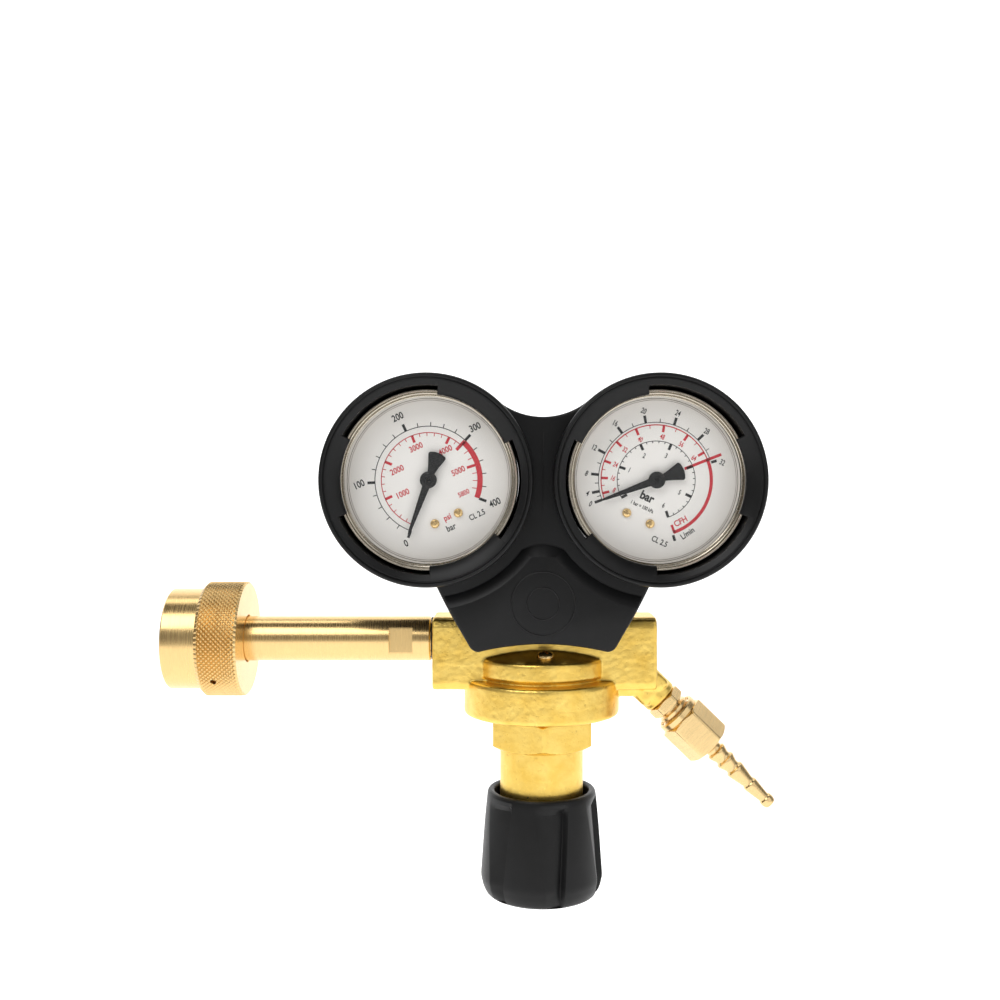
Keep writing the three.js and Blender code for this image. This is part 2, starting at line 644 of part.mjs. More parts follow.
// Outline of the web and apron, with the top saddle tangent to both rings.
function apronShape(inset) {
  const saddleRadius = 24.5 + inset;
  const saddleZ = 103.8;
  const shape = new THREE.Shape();
  const tangent = Math.atan2(GAUGE_Z - saddleZ, GAUGE_OFFSET_X);
  shape.absarc(0, saddleZ, saddleRadius, tangent, -Math.PI - tangent, true);
  shape.lineTo(-GAUGE_OFFSET_X, GAUGE_Z);
  const sides = [[36.5, 20.5], [32, 11.6], [27, 3], [25.2, -0.4]];
  const corner = [22.4, -1.7];
  shape.lineTo(-38 + inset, 24);
  for (const [x, z] of sides) shape.lineTo(-x + inset, z + inset * 0.3);
  shape.quadraticCurveTo(-24.2 + inset, -1.9 + inset, -corner[0] + inset, corner[1] + inset);
  shape.quadraticCurveTo(0, 3.5 + inset, corner[0] - inset, corner[1] + inset);
  shape.quadraticCurveTo(24.2 - inset, -1.9 + inset, 25.2 - inset, -0.4 + inset * 0.3);
  for (const [x, z] of sides.slice(0, 3).reverse()) shape.lineTo(x - inset, z + inset * 0.3);
  shape.lineTo(38 - inset, 24);
  shape.lineTo(GAUGE_OFFSET_X, GAUGE_Z);
  shape.closePath();
  return shape;
}

// The raised pad under the rings, bounded above by two arcs and a rounded apex.
function padShape() {
  const padRadius = 41.5;
  const shape = new THREE.Shape();
  const start = -Math.PI / 2 - 0.15;
  const end = Math.PI + 0.62;
  shape.moveTo(31.2, 11.6);
  shape.absarc(GAUGE_OFFSET_X, GAUGE_Z, padRadius, start, end, true);
  shape.quadraticCurveTo(0, 35.2, -(GAUGE_OFFSET_X + padRadius * Math.cos(end)),
    GAUGE_Z + padRadius * Math.sin(end));
  shape.absarc(-GAUGE_OFFSET_X, GAUGE_Z, padRadius, Math.PI - end, Math.PI - start, true);
  shape.lineTo(-31.2, 11.6);
  shape.lineTo(-26, 3.2);
  shape.lineTo(-23.4, -0.6);
  shape.quadraticCurveTo(0, 4.3, 23.4, -0.6);
  shape.lineTo(26, 3.2);
  shape.closePath();
  return shape;
}

function guardRing(side) {
  const ring = turned([
    [GUARD_BORE_RADIUS, GUARD_BACK_Y], [GUARD_RADIUS, GUARD_BACK_Y],
    [GUARD_RADIUS, GUARD_LIP_Y + 1.2], [GUARD_RADIUS - 1, GUARD_LIP_Y],
    [GUARD_RADIUS - 2.4, GUARD_LIP_Y], [GUARD_BORE_RADIUS, GUARD_LIP_Y + 1.4],
  ], 72);
  return alongY(ring).translate(side * GAUGE_OFFSET_X, 0, GAUGE_Z);
}

function guardTab(side, fromDeg, toDeg) {
  const turn = (deg) => THREE.MathUtils.degToRad(side < 0 ? deg : 180 - deg);
  const [from, to] = side < 0 ? [turn(fromDeg), turn(toDeg)] : [turn(toDeg), turn(fromDeg)];
  const shape = new THREE.Shape();
  shape.absarc(0, 0, GUARD_BORE_RADIUS + 0.5, from, to, false);
  shape.absarc(0, 0, TAB_RADIUS, to, from, true);
  shape.closePath();
  return plate(shape, -27.4, -24, 4).translate(side * GAUGE_OFFSET_X, 0, GAUGE_Z);
}

function socketSlot(side) {
  const slot = box(-8.6, 8.6, -8.8, GUARD_BACK_Y + 1, -45, -20);
  return slot.rotateY(side * GAUGE_TILT).translate(side * GAUGE_OFFSET_X, 0, GAUGE_Z);
}

function buildGuard() {
  const added = [plate(padShape(), PAD_FRONT_Y, WEB_FRONT_Y + 0.5)];
  const removed = [
    plate(apronShape(SKIRT_WALL), WEB_FRONT_Y + SKIRT_WALL, SKIRT_BACK_Y + 1),
  ];
  let guard = solid(plate(apronShape(0), WEB_FRONT_Y, SKIRT_BACK_Y));
  for (const geometry of added) guard = guard.add(solid(geometry));
  for (const geometry of removed) guard = guard.subtract(solid(geometry));
  for (const side of [-1, 1]) {
    const x = side * GAUGE_OFFSET_X;
    const hole = faceRod(GUARD_BORE_RADIUS + 1, -40, 20, x, GAUGE_Z, 72);
    guard = guard.subtract(solid(hole)).add(solid(guardRing(side)));
  }
  for (const side of [-1, 1]) {
    for (const [from, to] of LEFT_TABS_DEG) guard = guard.add(solid(guardTab(side, from, to)));
    guard = guard.subtract(solid(socketSlot(side)));
  }
  const emblem = cut(faceRod(10.9, -27, -25, 0, 15.3, 40), [faceRod(9.9, -28, -20, 0, 15.3, 40)]);
  guard = guard.subtract(solid(emblem));
  node("gauge_guard", onBonnetAxis(geometryOf(guard)), "blackPlastic");
}

buildBody();
buildBossScrew();
buildBonnet();
buildKnob();
buildSpringStack();
buildValve();
buildReliefValve();
buildInlet();
buildHandwheelNut();
buildOutlet();
buildGauge("contents", -1);
buildGauge("flow", 1);
buildGuard();

export default part;
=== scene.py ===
"""Two-gauge gas regulator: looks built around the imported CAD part.

Lengths in the builders are in millimetres, and new_piece() turns them into metres. The stage,
lights and camera are in metres.
"""

import math

import bmesh
import bpy
import numpy as np
from mathutils import Matrix, Vector, noise


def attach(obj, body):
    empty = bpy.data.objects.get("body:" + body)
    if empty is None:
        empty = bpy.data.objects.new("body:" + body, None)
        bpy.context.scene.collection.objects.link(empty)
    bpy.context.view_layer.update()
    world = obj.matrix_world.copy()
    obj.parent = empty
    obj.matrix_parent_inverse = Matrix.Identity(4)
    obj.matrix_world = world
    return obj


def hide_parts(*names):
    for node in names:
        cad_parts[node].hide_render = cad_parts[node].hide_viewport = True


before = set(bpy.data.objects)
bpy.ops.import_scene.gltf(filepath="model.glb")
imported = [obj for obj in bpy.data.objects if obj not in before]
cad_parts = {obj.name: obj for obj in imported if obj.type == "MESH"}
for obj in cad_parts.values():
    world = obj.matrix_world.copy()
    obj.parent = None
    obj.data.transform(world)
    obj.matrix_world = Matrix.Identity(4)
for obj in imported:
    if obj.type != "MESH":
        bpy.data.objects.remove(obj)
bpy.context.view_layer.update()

MM = 0.001
ROOT = "regulator"

# Driving dimensions, in millimetres and degrees
BONNET_X = 127.0
GAUGE_OFFSET = 39.8
GAUGE_Z = 57.5
GAUGE_TILT = 25.0
OUTLET_X = BONNET_X + 43.4
OUTLET_Z = -21.6
OUTLET_TURN = 134.07
BOSS_RADIUS = 23.7
BOSS_TOP = -6.2
BOSS_CROWN = 4.0
BOSS_SCREW_Y = -16.5
BOSS_SCREW_LEAN = 15
BONNET_HEX_FLATS = 35
BONNET_HEX_LOW = -38.6
BONNET_HEX_HIGH = -27.1
NIPPLE_FLATS = 12
UNION_FLATS = 16

# How corners are softened
CORNER_STEPS = 4
CORNER_SHARE = 0.45
CHAMFER_SLOPE = 0.58
HEX_SOFTENING = 0.12

# ---------------------------------------------------------------- placements


def turn(axis, degrees):
    return Matrix.Rotation(math.radians(degrees), 4, axis)


def at(x, y, z):
    return Matrix.Translation((x, y, z))


ALONG_X = turn("Y", 90)
ALONG_Y = turn("X", -90)
ON_BONNET = at(BONNET_X, 0, 0)
ON_OUTLET = at(OUTLET_X, 0, OUTLET_Z) @ turn("Y", OUTLET_TURN)
OUTLET_AXIS = (0.7185, 0.0, -0.6955)  # the outlet's direction, for its turning marks


def gauge_centre(side):
    """The centre of the left (-1) or right (1) gauge, without its tilt."""
    return at(BONNET_X + side * GAUGE_OFFSET, 0, GAUGE_Z)


def on_gauge(side):
    return gauge_centre(side) @ turn("Y", side * GAUGE_TILT)


# ---------------------------------------------------------------- mesh helpers


def new_object(name, data):
    obj = bpy.data.objects.new(name, data)
    bpy.context.scene.collection.objects.link(obj)
    return obj


def new_piece(name, verts, faces, matrix, material, smooth):
    """Makes a mesh object from millimetre vertices, placed by matrix, in metres.

    smooth is the largest angle in degrees that is shaded smoothly, and None leaves it flat.
    """
    m = np.array(matrix)
    points = np.asarray(verts, dtype=float).reshape(-1, 3) @ m[:3, :3].T + m[:3, 3]
    mesh = bpy.data.meshes.new(name)
    mesh.from_pydata((points * MM).tolist(), [], faces)
    mesh.validate()
    obj = new_object(name, mesh)
    fix_normals(mesh)
    finish_mesh(obj, material, smooth)
    return obj


def fix_normals(mesh):
    bm = bmesh.new()
    bm.from_mesh(mesh)
    bmesh.ops.remove_doubles(bm, verts=bm.verts, dist=1e-7)
    bmesh.ops.recalc_face_normals(bm, faces=bm.faces)
    bm.to_mesh(mesh)
    bm.free()


def finish_mesh(obj, material, smooth):
    """Sets the smoothing angle and the one material, each left alone where it is None."""
    mesh = obj.data
    if smooth is not None:
        mesh.polygons.foreach_set("use_smooth", [True] * len(mesh.polygons))
        mesh.set_sharp_from_angle(angle=math.radians(smooth))
    if material is not None:
        mesh.materials.clear()
        mesh.materials.append(material)


def grid_faces(rows, cols):
    """Quads of a rows x cols grid whose last column joins the first."""
    faces = []
    for i in range(rows - 1):
        for j in range(cols):
            k = (j + 1) % cols
            faces.append((i * cols + j, i * cols + k, (i + 1) * cols + k, (i + 1) * cols + j))
    return faces


def revolve(profile, count, radius_at=None, twist=None):
    """Vertices and faces of (radius, height) rows turned about Z.

    radius_at(radius, height, angle) may change a point's radius, and
    twist(height) turns a whole row.
    """
    verts = []
    for radius, height in profile:
        start = 0.0 if twist is None else twist(height)
        for j in range(count):
            angle = 2 * math.pi * j / count + start
            r = radius if radius_at is None else radius_at(radius, height, angle)
            verts.append((r * math.cos(angle), r * math.sin(angle), height))
    faces = grid_faces(len(profile), count)
    if profile[0] != profile[-1]:
        if profile[0][0] > 0:
            faces.append(tuple(range(count)))
        if profile[-1][0] > 0:
            start = (len(profile) - 1) * count
            faces.append(tuple(range(start, start + count)))
    return verts, faces


def rounded(profile, radius):
    """Rounds every corner of a (radius, height) profile but its two end points."""
    if radius <= 0:
        return list(profile)
    out = [profile[0]]
    for a, b, c in zip(profile, profile[1:], profile[2:]):
        va = Vector((a[0] - b[0], a[1] - b[1]))
        vc = Vector((c[0] - b[0], c[1] - b[1]))
        if va.length < 1e-6 or vc.length < 1e-6:
            out.append(b)
            continue
        reach = min(radius, va.length * CORNER_SHARE, vc.length * CORNER_SHARE)
        start = Vector(b) + va.normalized() * reach
        end = Vector(b) + vc.normalized() * reach
        for k in range(CORNER_STEPS + 1):
            t = k / CORNER_STEPS
            p = start * (1 - t) ** 2 + Vector(b) * 2 * t * (1 - t) + end * t ** 2
            out.append((max(p.x, 0.0), p.y))
    out.append(profile[-1])
    return out


def lathe(name, profile, matrix, material, count, edge, smooth=35.0):
    """A turned piece with count sides, its profile's corners rounded by edge."""
    verts, faces = revolve(rounded(profile, edge), count)
    return new_piece(name, verts, faces, matrix, material, smooth)


def hex_radius(flats, angle, corner):
    """Radius of a hexagon with one corner at the angle `corner`, slightly softened."""
    local = (angle - corner) % (math.pi / 3) - math.pi / 6
    sharp = flats / 2 / math.cos(local)
    return min(sharp, flats / math.sqrt(3) - HEX_SOFTENING)


def hex_rows(flats, low, high, fine):
    """Cap radii and heights of a hexagon from low to high, each chamfer in fine steps."""
    corner = flats / math.sqrt(3)
    inner = flats / 2 * 0.985
    depth = (corner - inner) * CHAMFER_SLOPE
    rows = [(inner + (corner - inner) * k / fine, low + depth * k / fine) for k in range(fine)]
    rows += [(corner, low + depth), (corner, high - depth)]
    rows += [(corner - (corner - inner) * k / fine, high - depth + depth * k / fine)
             for k in range(1, fine + 1)]
    return rows


def join(name, pieces):
    """Joins mesh objects into one, keeping their material slots."""
    bpy.ops.object.select_all(action="DESELECT")
    for piece in pieces:
        piece.select_set(True)
    bpy.context.view_layer.objects.active = pieces[0]
    bpy.ops.object.join()
    joined = bpy.context.view_layer.objects.active
    joined.name = name
    joined.select_set(False)
    return joined


def applied(obj):
    """Replaces an object's mesh by its evaluated mesh and drops its modifiers."""
    graph = bpy.context.evaluated_depsgraph_get()
    mesh = bpy.data.meshes.new_from_object(obj.evaluated_get(graph))
    obj.modifiers.clear()
    obj.data = mesh
    return obj


def bevel(obj, width, segments, angle=30.0):
    modifier = obj.modifiers.new("bevel", "BEVEL")
    modifier.width = width * MM
    modifier.segments = segments
    modifier.limit_method = "ANGLE"
    modifier.angle_limit = math.radians(angle)
    modifier.harden_normals = False
    return obj


def box_piece(name, low, high, matrix, material=None):
    xs, ys, zs = zip(low, high)
    verts = [(x, y, z) for x in xs for y in ys for z in zs]
    faces = [(0, 1, 3, 2), (4, 6, 7, 5), (0, 4, 5, 1), (2, 3, 7, 6), (0, 2, 6, 4), (1, 5, 7, 3)]
    return new_piece(name, verts, faces, matrix, material, None)


def prism_faces(n):
    """Two caps and n sides, for an outline of n points followed by its copy."""
    faces = [tuple(range(n)), tuple(range(2 * n - 1, n - 1, -1))]
    return faces + [(i, (i + 1) % n, n + (i + 1) % n, n + i) for i in range(n)]


def extrude_face(name, outline, front, back, matrix, material):
    """A plate between two depths on Y from an (x, z) outline."""
    verts = [(x, y, z) for y in (front, back) for x, z in outline]
    return new_piece(name, verts, prism_faces(len(outline)), matrix, material, 30.0)


def arc(cx, cz, radius, start, end, steps):
    """Points on an arc from start to end degrees."""
    out = []
    for k in range(steps + 1):
        a = math.radians(start + (end - start) * k / steps)
        out.append((cx + radius * math.cos(a), cz + radius * math.sin(a)))
    return out


def curve_points(p0, control, p1, steps):
    """Points on the curve from p0 to p1 that is pulled towards control."""
    out = []
    for k in range(steps + 1):
        t = k / steps
        out.append(tuple((1 - t) ** 2 * a + 2 * t * (1 - t) * b + t * t * c
                         for a, b, c in zip(p0, control, p1)))
    return out


def install(obj, body, slot, *nodes):
    """Hands a piece to the frame: its body and the CAD nodes it replaces; slot is not used."""
    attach(obj, body)
    if nodes:
        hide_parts(*nodes)
    return obj


# ---------------------------------------------------------------- materials


class Shader:
    """Small helper around a Principled material's node tree."""

    def __init__(self, name):
        self.material = bpy.data.materials.new(name)
        self.material.use_nodes = True
        self.tree = self.material.node_tree
        self.bsdf = self.tree.nodes["Principled BSDF"]
        self.coord = self.tree.nodes.new("ShaderNodeTexCoord").outputs["Object"]

    def link(self, a, b):
        self.tree.links.new(a, b)

    def feed(self, socket, value):
        """Sets a socket to a number or colour, or links it to another socket."""
        if isinstance(value, (int, float)):
            socket.default_value = value
        elif isinstance(value, tuple):
            socket.default_value = (*value, 1.0)
        else:
            self.link(value, socket)

    def set(self, **values):
        for key, value in values.items():
            self.bsdf.inputs[key.replace("_", " ")].default_value = value

    def noise(self, size_mm, detail=3.0, rough=0.55, vector=None):
        node = self.tree.nodes.new("ShaderNodeTexNoise")
        node.inputs["Scale"].default_value = 1000.0 / size_mm
        node.inputs["Detail"].default_value = detail
        node.inputs["Roughness"].default_value = rough
        self.link(vector if vector is not None else self.coord, node.inputs["Vector"])
        return node.outputs["Fac"]

    def stretched(self, scale):
        node = self.tree.nodes.new("ShaderNodeVectorMath")
        node.operation = "MULTIPLY"
        node.inputs[1].default_value = scale
        self.link(self.coord, node.inputs[0])
        return node.outputs["Vector"]

    def along(self, axis, squeeze=0.002):
        """Coordinates that change quickly along axis and hardly across it."""
        dot = self.tree.nodes.new("ShaderNodeVectorMath")
        dot.operation = "DOT_PRODUCT"
        dot.inputs[1].default_value = axis
        self.link(self.coord, dot.inputs[0])
        combine = self.tree.nodes.new("ShaderNodeCombineXYZ")
        self.link(dot.outputs["Value"], combine.inputs["X"])
        small = self.stretched((squeeze,) * 3)
        add = self.tree.nodes.new("ShaderNodeVectorMath")
        self.link(combine.outputs["Vector"], add.inputs[0])
        self.link(small, add.inputs[1])
        return add.outputs["Vector"]

    def voronoi(self, size_mm):
        node = self.tree.nodes.new("ShaderNodeTexVoronoi")
        node.inputs["Scale"].default_value = 1000.0 / size_mm
        self.link(self.coord, node.inputs["Vector"])
        return node.outputs["Distance"]

    def ramp(self, source, stops):
        node = self.tree.nodes.new("ShaderNodeValToRGB")
        elements = node.color_ramp.elements
        while len(elements) < len(stops):
            elements.new(0.5)
        for element, (place, value) in zip(elements, stops):
            element.position = place
            color = value if isinstance(value, tuple) else (value,) * 3
            element.color = (*color, 1.0)
        self.link(source, node.inputs["Fac"])
        return node.outputs["Color"]

    def mix(self, factor, a, b):
        """Mixes two colours; a Mix node's colour sockets are inputs 6 and 7 and output 2."""
        node = self.tree.nodes.new("ShaderNodeMix")
        node.data_type = "RGBA"
        for place, value in ((0, factor), (6, a), (7, b)):
            self.feed(node.inputs[place], value)
        return node.outputs[2]

    def math(self, operation, a, b):
        node = self.tree.nodes.new("ShaderNodeMath")
        node.operation = operation
        for socket, value in zip(node.inputs, (a, b)):
            self.feed(socket, value)
        return node.outputs[0]

    def bump(self, *layers):
        """Layers of (height socket, distance in mm), chained."""
        normal = None
        for height, distance in layers:
            node = self.tree.nodes.new("ShaderNodeBump")
            node.inputs["Strength"].default_value = 1.0
            node.inputs["Distance"].default_value = distance * MM
            self.link(height, node.inputs["Height"])
            if normal is not None:
                self.link(normal, node.inputs["Normal"])
            normal = node.outputs["Normal"]
        self.link(normal, self.bsdf.inputs["Normal"])


def forged_brass():
    s = Shader("forged_brass")
    s.set(Metallic=1.0)
    cloud = s.noise(7.0, 4.0)
    grain = s.noise(0.55, 4.0, 0.65)
    base = s.ramp(cloud, [(0.3, (0.84, 0.55, 0.11)), (0.7, (0.93, 0.67, 0.18))])
    stain = s.ramp(s.noise(2.6, 6.0, 0.7), [(0.30, 0.0), (0.38, 1.0)])
    dark = s.mix(0.45, base, (0.40, 0.20, 0.04))
    s.link(s.mix(stain, dark, base), s.bsdf.inputs["Base Color"])
    s.link(s.ramp(grain, [(0.3, 0.26), (0.7, 0.42)]), s.bsdf.inputs["Roughness"])
    pits = s.ramp(s.voronoi(1.7), [(0.05, 0.0), (0.22, 1.0)])
    s.bump((grain, 0.05), (s.noise(2.4, 2.0), 0.10), (pits, 0.03))
    return s.material


def turned_brass(name, axis, base=(0.87, 0.61, 0.27), low=0.12, high=0.30):
    s = Shader(name)
    s.set(Metallic=1.0)
    lines = s.noise(0.16, 3.0, 0.6, s.along(axis))
    cloud = s.noise(9.0, 3.0)
    deep = tuple(c * 0.86 for c in base)
    s.link(s.mix(cloud, deep, base), s.bsdf.inputs["Base Color"])
    smear = s.noise(3.0, 5.0, 0.6)
    s.link(s.math("ADD", s.ramp(lines, [(0.3, low), (0.7, high)]),
                  s.math("MULTIPLY", smear, 0.08)), s.bsdf.inputs["Roughness"])
    s.bump((lines, 0.006), (smear, 0.006))
    return s.material


def plain_metal(name, base, low, high):
    s = Shader(name)
    s.set(Metallic=1.0)
    fine = s.noise(0.5, 4.0)
    shade = tuple(c * 0.85 for c in base)
    s.link(s.mix(s.noise(5.0, 3.0), shade, base), s.bsdf.inputs["Base Color"])
    s.link(s.ramp(fine, [(0.3, low), (0.7, high)]), s.bsdf.inputs["Roughness"])
    s.bump((fine, 0.01),)
    return s.material


def black_plastic(name, base=0.0045, low=0.30, high=0.40, texture=0.010):
    s = Shader(name)
    fine = s.noise(0.30, 2.0)
    cloud = s.noise(14.0, 3.0)
    s.link(s.ramp(cloud, [(0.3, (base,) * 3), (0.7, (base * 1.5, base * 1.5, base * 1.6))]),
           s.bsdf.inputs["Base Color"])
    s.set(Specular_IOR_Level=0.26)
    scuff = s.ramp(s.noise(1.1, 5.0, 0.7), [(0.66, 0.0), (0.74, 0.10)])
    s.link(s.math("ADD", s.ramp(fine, [(0.3, low), (0.7, high)]), scuff), s.bsdf.inputs["Roughness"])
    s.bump((fine, texture), (s.noise(6.0, 2.0), 0.03))
    return s.material


def printed(name, color, rough=0.55, specular=0.5):
    s = Shader(name)
    tint = s.noise(4.0, 2.0)
    s.link(s.mix(tint, tuple(c * 0.96 for c in color), color), s.bsdf.inputs["Base Color"])
    s.set(Roughness=rough, Specular_IOR_Level=specular)
    s.bump((s.noise(0.25, 2.0), 0.002),)
    return s.material


def clear_plastic(name, color, alpha, rough):
    s = Shader(name)
    s.link(s.mix(s.noise(8.0, 2.0), tuple(c * 0.94 for c in color), color),
           s.bsdf.inputs["Base Color"])
    s.set(Roughness=rough, Alpha=alpha, IOR=1.45)
    s.bump((s.noise(12.0, 1.0), 0.004),)
    return s.material


FORGED = forged_brass()
TURNED_X = turned_brass("turned_brass_x", (1, 0, 0))
TURNED_Z = turned_brass("turned_brass_z", (0, 0, 1))
TURNED_Y = turned_brass("turned_brass_y", (0, 1, 0))
TURNED_OUTLET = turned_brass("turned_brass_outlet", OUTLET_AXIS, (0.86, 0.62, 0.30), 0.13, 0.30)
KNURLED = turned_brass("knurled_brass", (1, 0, 0), (0.84, 0.57, 0.24), 0.14, 0.26)
STEEL = plain_metal("zinc_steel", (0.62, 0.62, 0.60), 0.22, 0.36)
BRONZE = plain_metal("bronze", (0.55, 0.33, 0.14), 0.45, 0.6)
PLASTIC = black_plastic("guard_plastic")
KNOB_PLASTIC = black_plastic("knob_plastic", 0.004, 0.34, 0.46, 0.014)
RUBBER = black_plastic("rubber", 0.012, 0.55, 0.7, 0.02)
CASE_PAINT = black_plastic("case_paint", 0.010, 0.3, 0.42, 0.006)
DIAL_WHITE = printed("dial_white", (0.95, 0.925, 0.885))
INK_BLACK = printed("ink_black", (0.012, 0.012, 0.012), 0.5)
INK_RED = printed("ink_red", (0.62, 0.02, 0.035), 0.5)
POINTER_BLACK = printed("pointer_black", (0.004, 0.004, 0.004), 0.5, 0.2)
WINDOW_CLEAR = clear_plastic("window_clear", (0.55, 0.56, 0.56), 0.03, 0.05)
RIM_METAL = plain_metal("rim_metal", (0.66, 0.60, 0.50), 0.16, 0.28)
RIM_LINE = printed("rim_line", (0.16, 0.12, 0.09), 0.4)

# ---------------------------------------------------------------- body


def boss_top(radius):
    """Height of the boss's shallow domed top."""
    return BOSS_TOP + BOSS_CROWN * (1 - (radius / BOSS_RADIUS) ** 2)


def forged_body():
    """The arms, boss, ring and ports, joined by a voxel remesh that rounds their inner corners."""
    parts = []

    def block(name, low, high, round_mm, matrix=ON_BONNET):
        obj = box_piece(name, low, high, matrix)
        bevel(obj, round_mm, 4)
        parts.append(applied(obj))

    def drum(name, profile, matrix=ON_BONNET, edge=0.8):
        parts.append(lathe(name, profile, matrix, None, 120, edge, None))

    arms = [(-11, -14.9), (-11, 5.6), (-10.1, 7.7), (-8, 8.6), (8, 8.6), (10.1, 7.7), (11, 5.6),
            (11, -14.9), (10.2, -16.6), (8.5, -17.2), (-8.5, -17.2), (-10.2, -16.6)]
    arm_ends = (-39.0, 40.8)
    verts = [(x, y, z) for x in arm_ends for y, z in arms]
    arm_block = new_piece("arms", verts, prism_faces(len(arms)), ON_BONNET, None, None)
    bevel(arm_block, 0.8, 3, 60)
    parts.append(applied(arm_block))
    dome = [(BOSS_RADIUS * k / 12, boss_top(BOSS_RADIUS * k / 12)) for k in range(13)]
    drum("boss", dome + [(BOSS_RADIUS, -12.4), (22.2, -12.9), (22.2, -14.4), (0, -14.4)])
    drum("ring", [(0, -13.8), (28, -13.8), (28, -26.6), (0, -26.6)], edge=1.4)
    drum("outlet", [(0, -20), (6.5, -20), (6.5, 0), (0, 0)], ON_OUTLET, 0.9)
    block("outlet_web", (22, -7.5, -20.2), (37, 7.5, -10), 2.5)
    block("outlet_cheek", (-6.4, -6.6, -18), (6.4, 6.6, -2.2), 2.2, ON_OUTLET)
    for side in (-1, 1):
        drum("port", [(0, -58), (9, -58), (9, -50.5), (0, -50.5)], on_gauge(side), 0.8)
    body = join("body_forging", parts)
    remesh = body.modifiers.new("remesh", "REMESH")
    remesh.mode = "VOXEL"
    remesh.voxel_size = 0.38 * MM
    soften = body.modifiers.new("soften", "SMOOTH")
    soften.factor = 0.5
    soften.iterations = 5
    applied(body)
    roughen(body, fine_mm=0.05, fine_size=1.6, broad_mm=0.05, broad_size=5.0)
    finish_mesh(body, FORGED, 60)
    return install(body, ROOT, "forged_brass", "body")


def roughen(obj, fine_mm, fine_size, broad_mm, broad_size):
    """Moves vertices along their normals by fine and broad noise."""
    mesh = obj.data
    points = np.empty(len(mesh.vertices) * 3)
    normals = np.empty(len(mesh.vertices) * 3)
    mesh.vertices.foreach_get("co", points)
    mesh.vertex_normals.foreach_get("vector", normals)
    points = points.reshape(-1, 3)
    shifts = [noise.noise(Vector(p / fine_size)) * fine_mm
              + noise.noise(Vector(p / broad_size)) * broad_mm for p in points / MM]
    points += normals.reshape(-1, 3) * np.array(shifts)[:, None] * MM
    mesh.vertices.foreach_set("co", points.ravel())
    mesh.update()


def boss_screw():
    """A pan-head screw with a cross recess, square to the dome under it."""
    seat = ON_BONNET @ at(1, BOSS_SCREW_Y, boss_top(BOSS_SCREW_Y)) @ turn("X", BOSS_SCREW_LEAN)
    head = lathe("screw_head", [(0, -1.2), (2.95, -1.2), (2.95, 0.5), (2.75, 1.1), (2.0, 1.6),
                                (1.0, 1.85), (0, 1.9)], seat, TURNED_Z, 48, 0.15)
    for angle in (25, 115):
        cut_out(head, box_piece("cross", (-1.7, -0.4, 0.7), (1.7, 0.4, 5),
                                seat @ turn("Z", angle), TURNED_Z))
    finish_mesh(head, TURNED_Z, 35)
    return install(head, ROOT, "machined_brass", "boss_screw")


def cut_out(obj, cutter):
    """Cuts one object out of another and removes the cutter."""
    modifier = obj.modifiers.new("cut", "BOOLEAN")
    modifier.operation = "DIFFERENCE"
    modifier.object = cutter
    modifier.solver = "EXACT"
    applied(obj)
    bpy.data.objects.remove(cutter)


def bonnet():
    """The flange, the hexagon with a corner to the front, and the tube down into the knob."""
    corner = -math.pi / 2
    rows = [(0, -21.5), (19.6, -21.5), (19.6, -27.0), (17.5, -27.05)]
    rows += reversed(hex_rows(BONNET_HEX_FLATS, BONNET_HEX_LOW, BONNET_HEX_HIGH, 8))
    rows += [(15.3, -38.75), (15, -39.2), (15, -61.2), (14.2, -62), (0, -62)]

    def shape(r, z, a):
        if BONNET_HEX_LOW - 0.05 < z < BONNET_HEX_HIGH + 0.04:
            return min(r, hex_radius(BONNET_HEX_FLATS, a, corner))
        return r

    verts, faces = revolve(rows, 192, shape)
    obj = new_piece("bonnet_casting", verts, faces, ON_BONNET, FORGED, 28)
    return install(obj, ROOT, "forged_brass", "bonnet")


# ---------------------------------------------------------------- knob

KNOB_PROFILE = [(17.0, -70), (17.0, -55.2), (17.25, -54.6), (17.8, -54.3), (18.4, -54.2),
                (19.0, -54.4), (19.4, -54.9), (19.6, -55.6), (19.75, -57), (19.95, -59),
                (20.15, -61), (20.35, -63), (20.52, -65), (20.7, -67), (20.85, -69), (21.0, -71),
                (21.15, -73), (21.28, -75), (21.42, -77), (21.55, -79), (21.7, -81),
                (21.85, -83), (21.95, -84.5), (21.9, -85.6), (21.6, -87), (21.3, -88.2),
                (20.8, -89.5), (20.2, -90.6), (19.5, -91.3), (18.6, -91.7), (13, -91.75),
                (12.6, -91.2), (0, -91.2)]
FLUTES = 6
FLUTE_DEPTH = 2.3
FLUTE_TOP = -57.0
FLUTE_LOW = -84.5
FLUTE_EDGE = 27.0    # angle of a flute's right edge at the top, from the front
FLUTE_SLANT = 6.0    # how far that edge turns on its way down
FLUTE_WIDTH = 36.0
FLUTE_NARROWING = 17.5
FLUTE_STEP = 3.0     # width of the crisp step at the right edge


def down_the_knob(z):
    """0 at the flutes' top and 1 at the knob's widest row."""
    return min(max((z - FLUTE_TOP) / (FLUTE_LOW - FLUTE_TOP), 0.0), 1.0)


def knob_twist(z):
    """Turns each row so that its vertices follow the slanted flute edges."""
    return math.radians(FLUTE_EDGE - FLUTE_SLANT * down_the_knob(z) - 90.0)


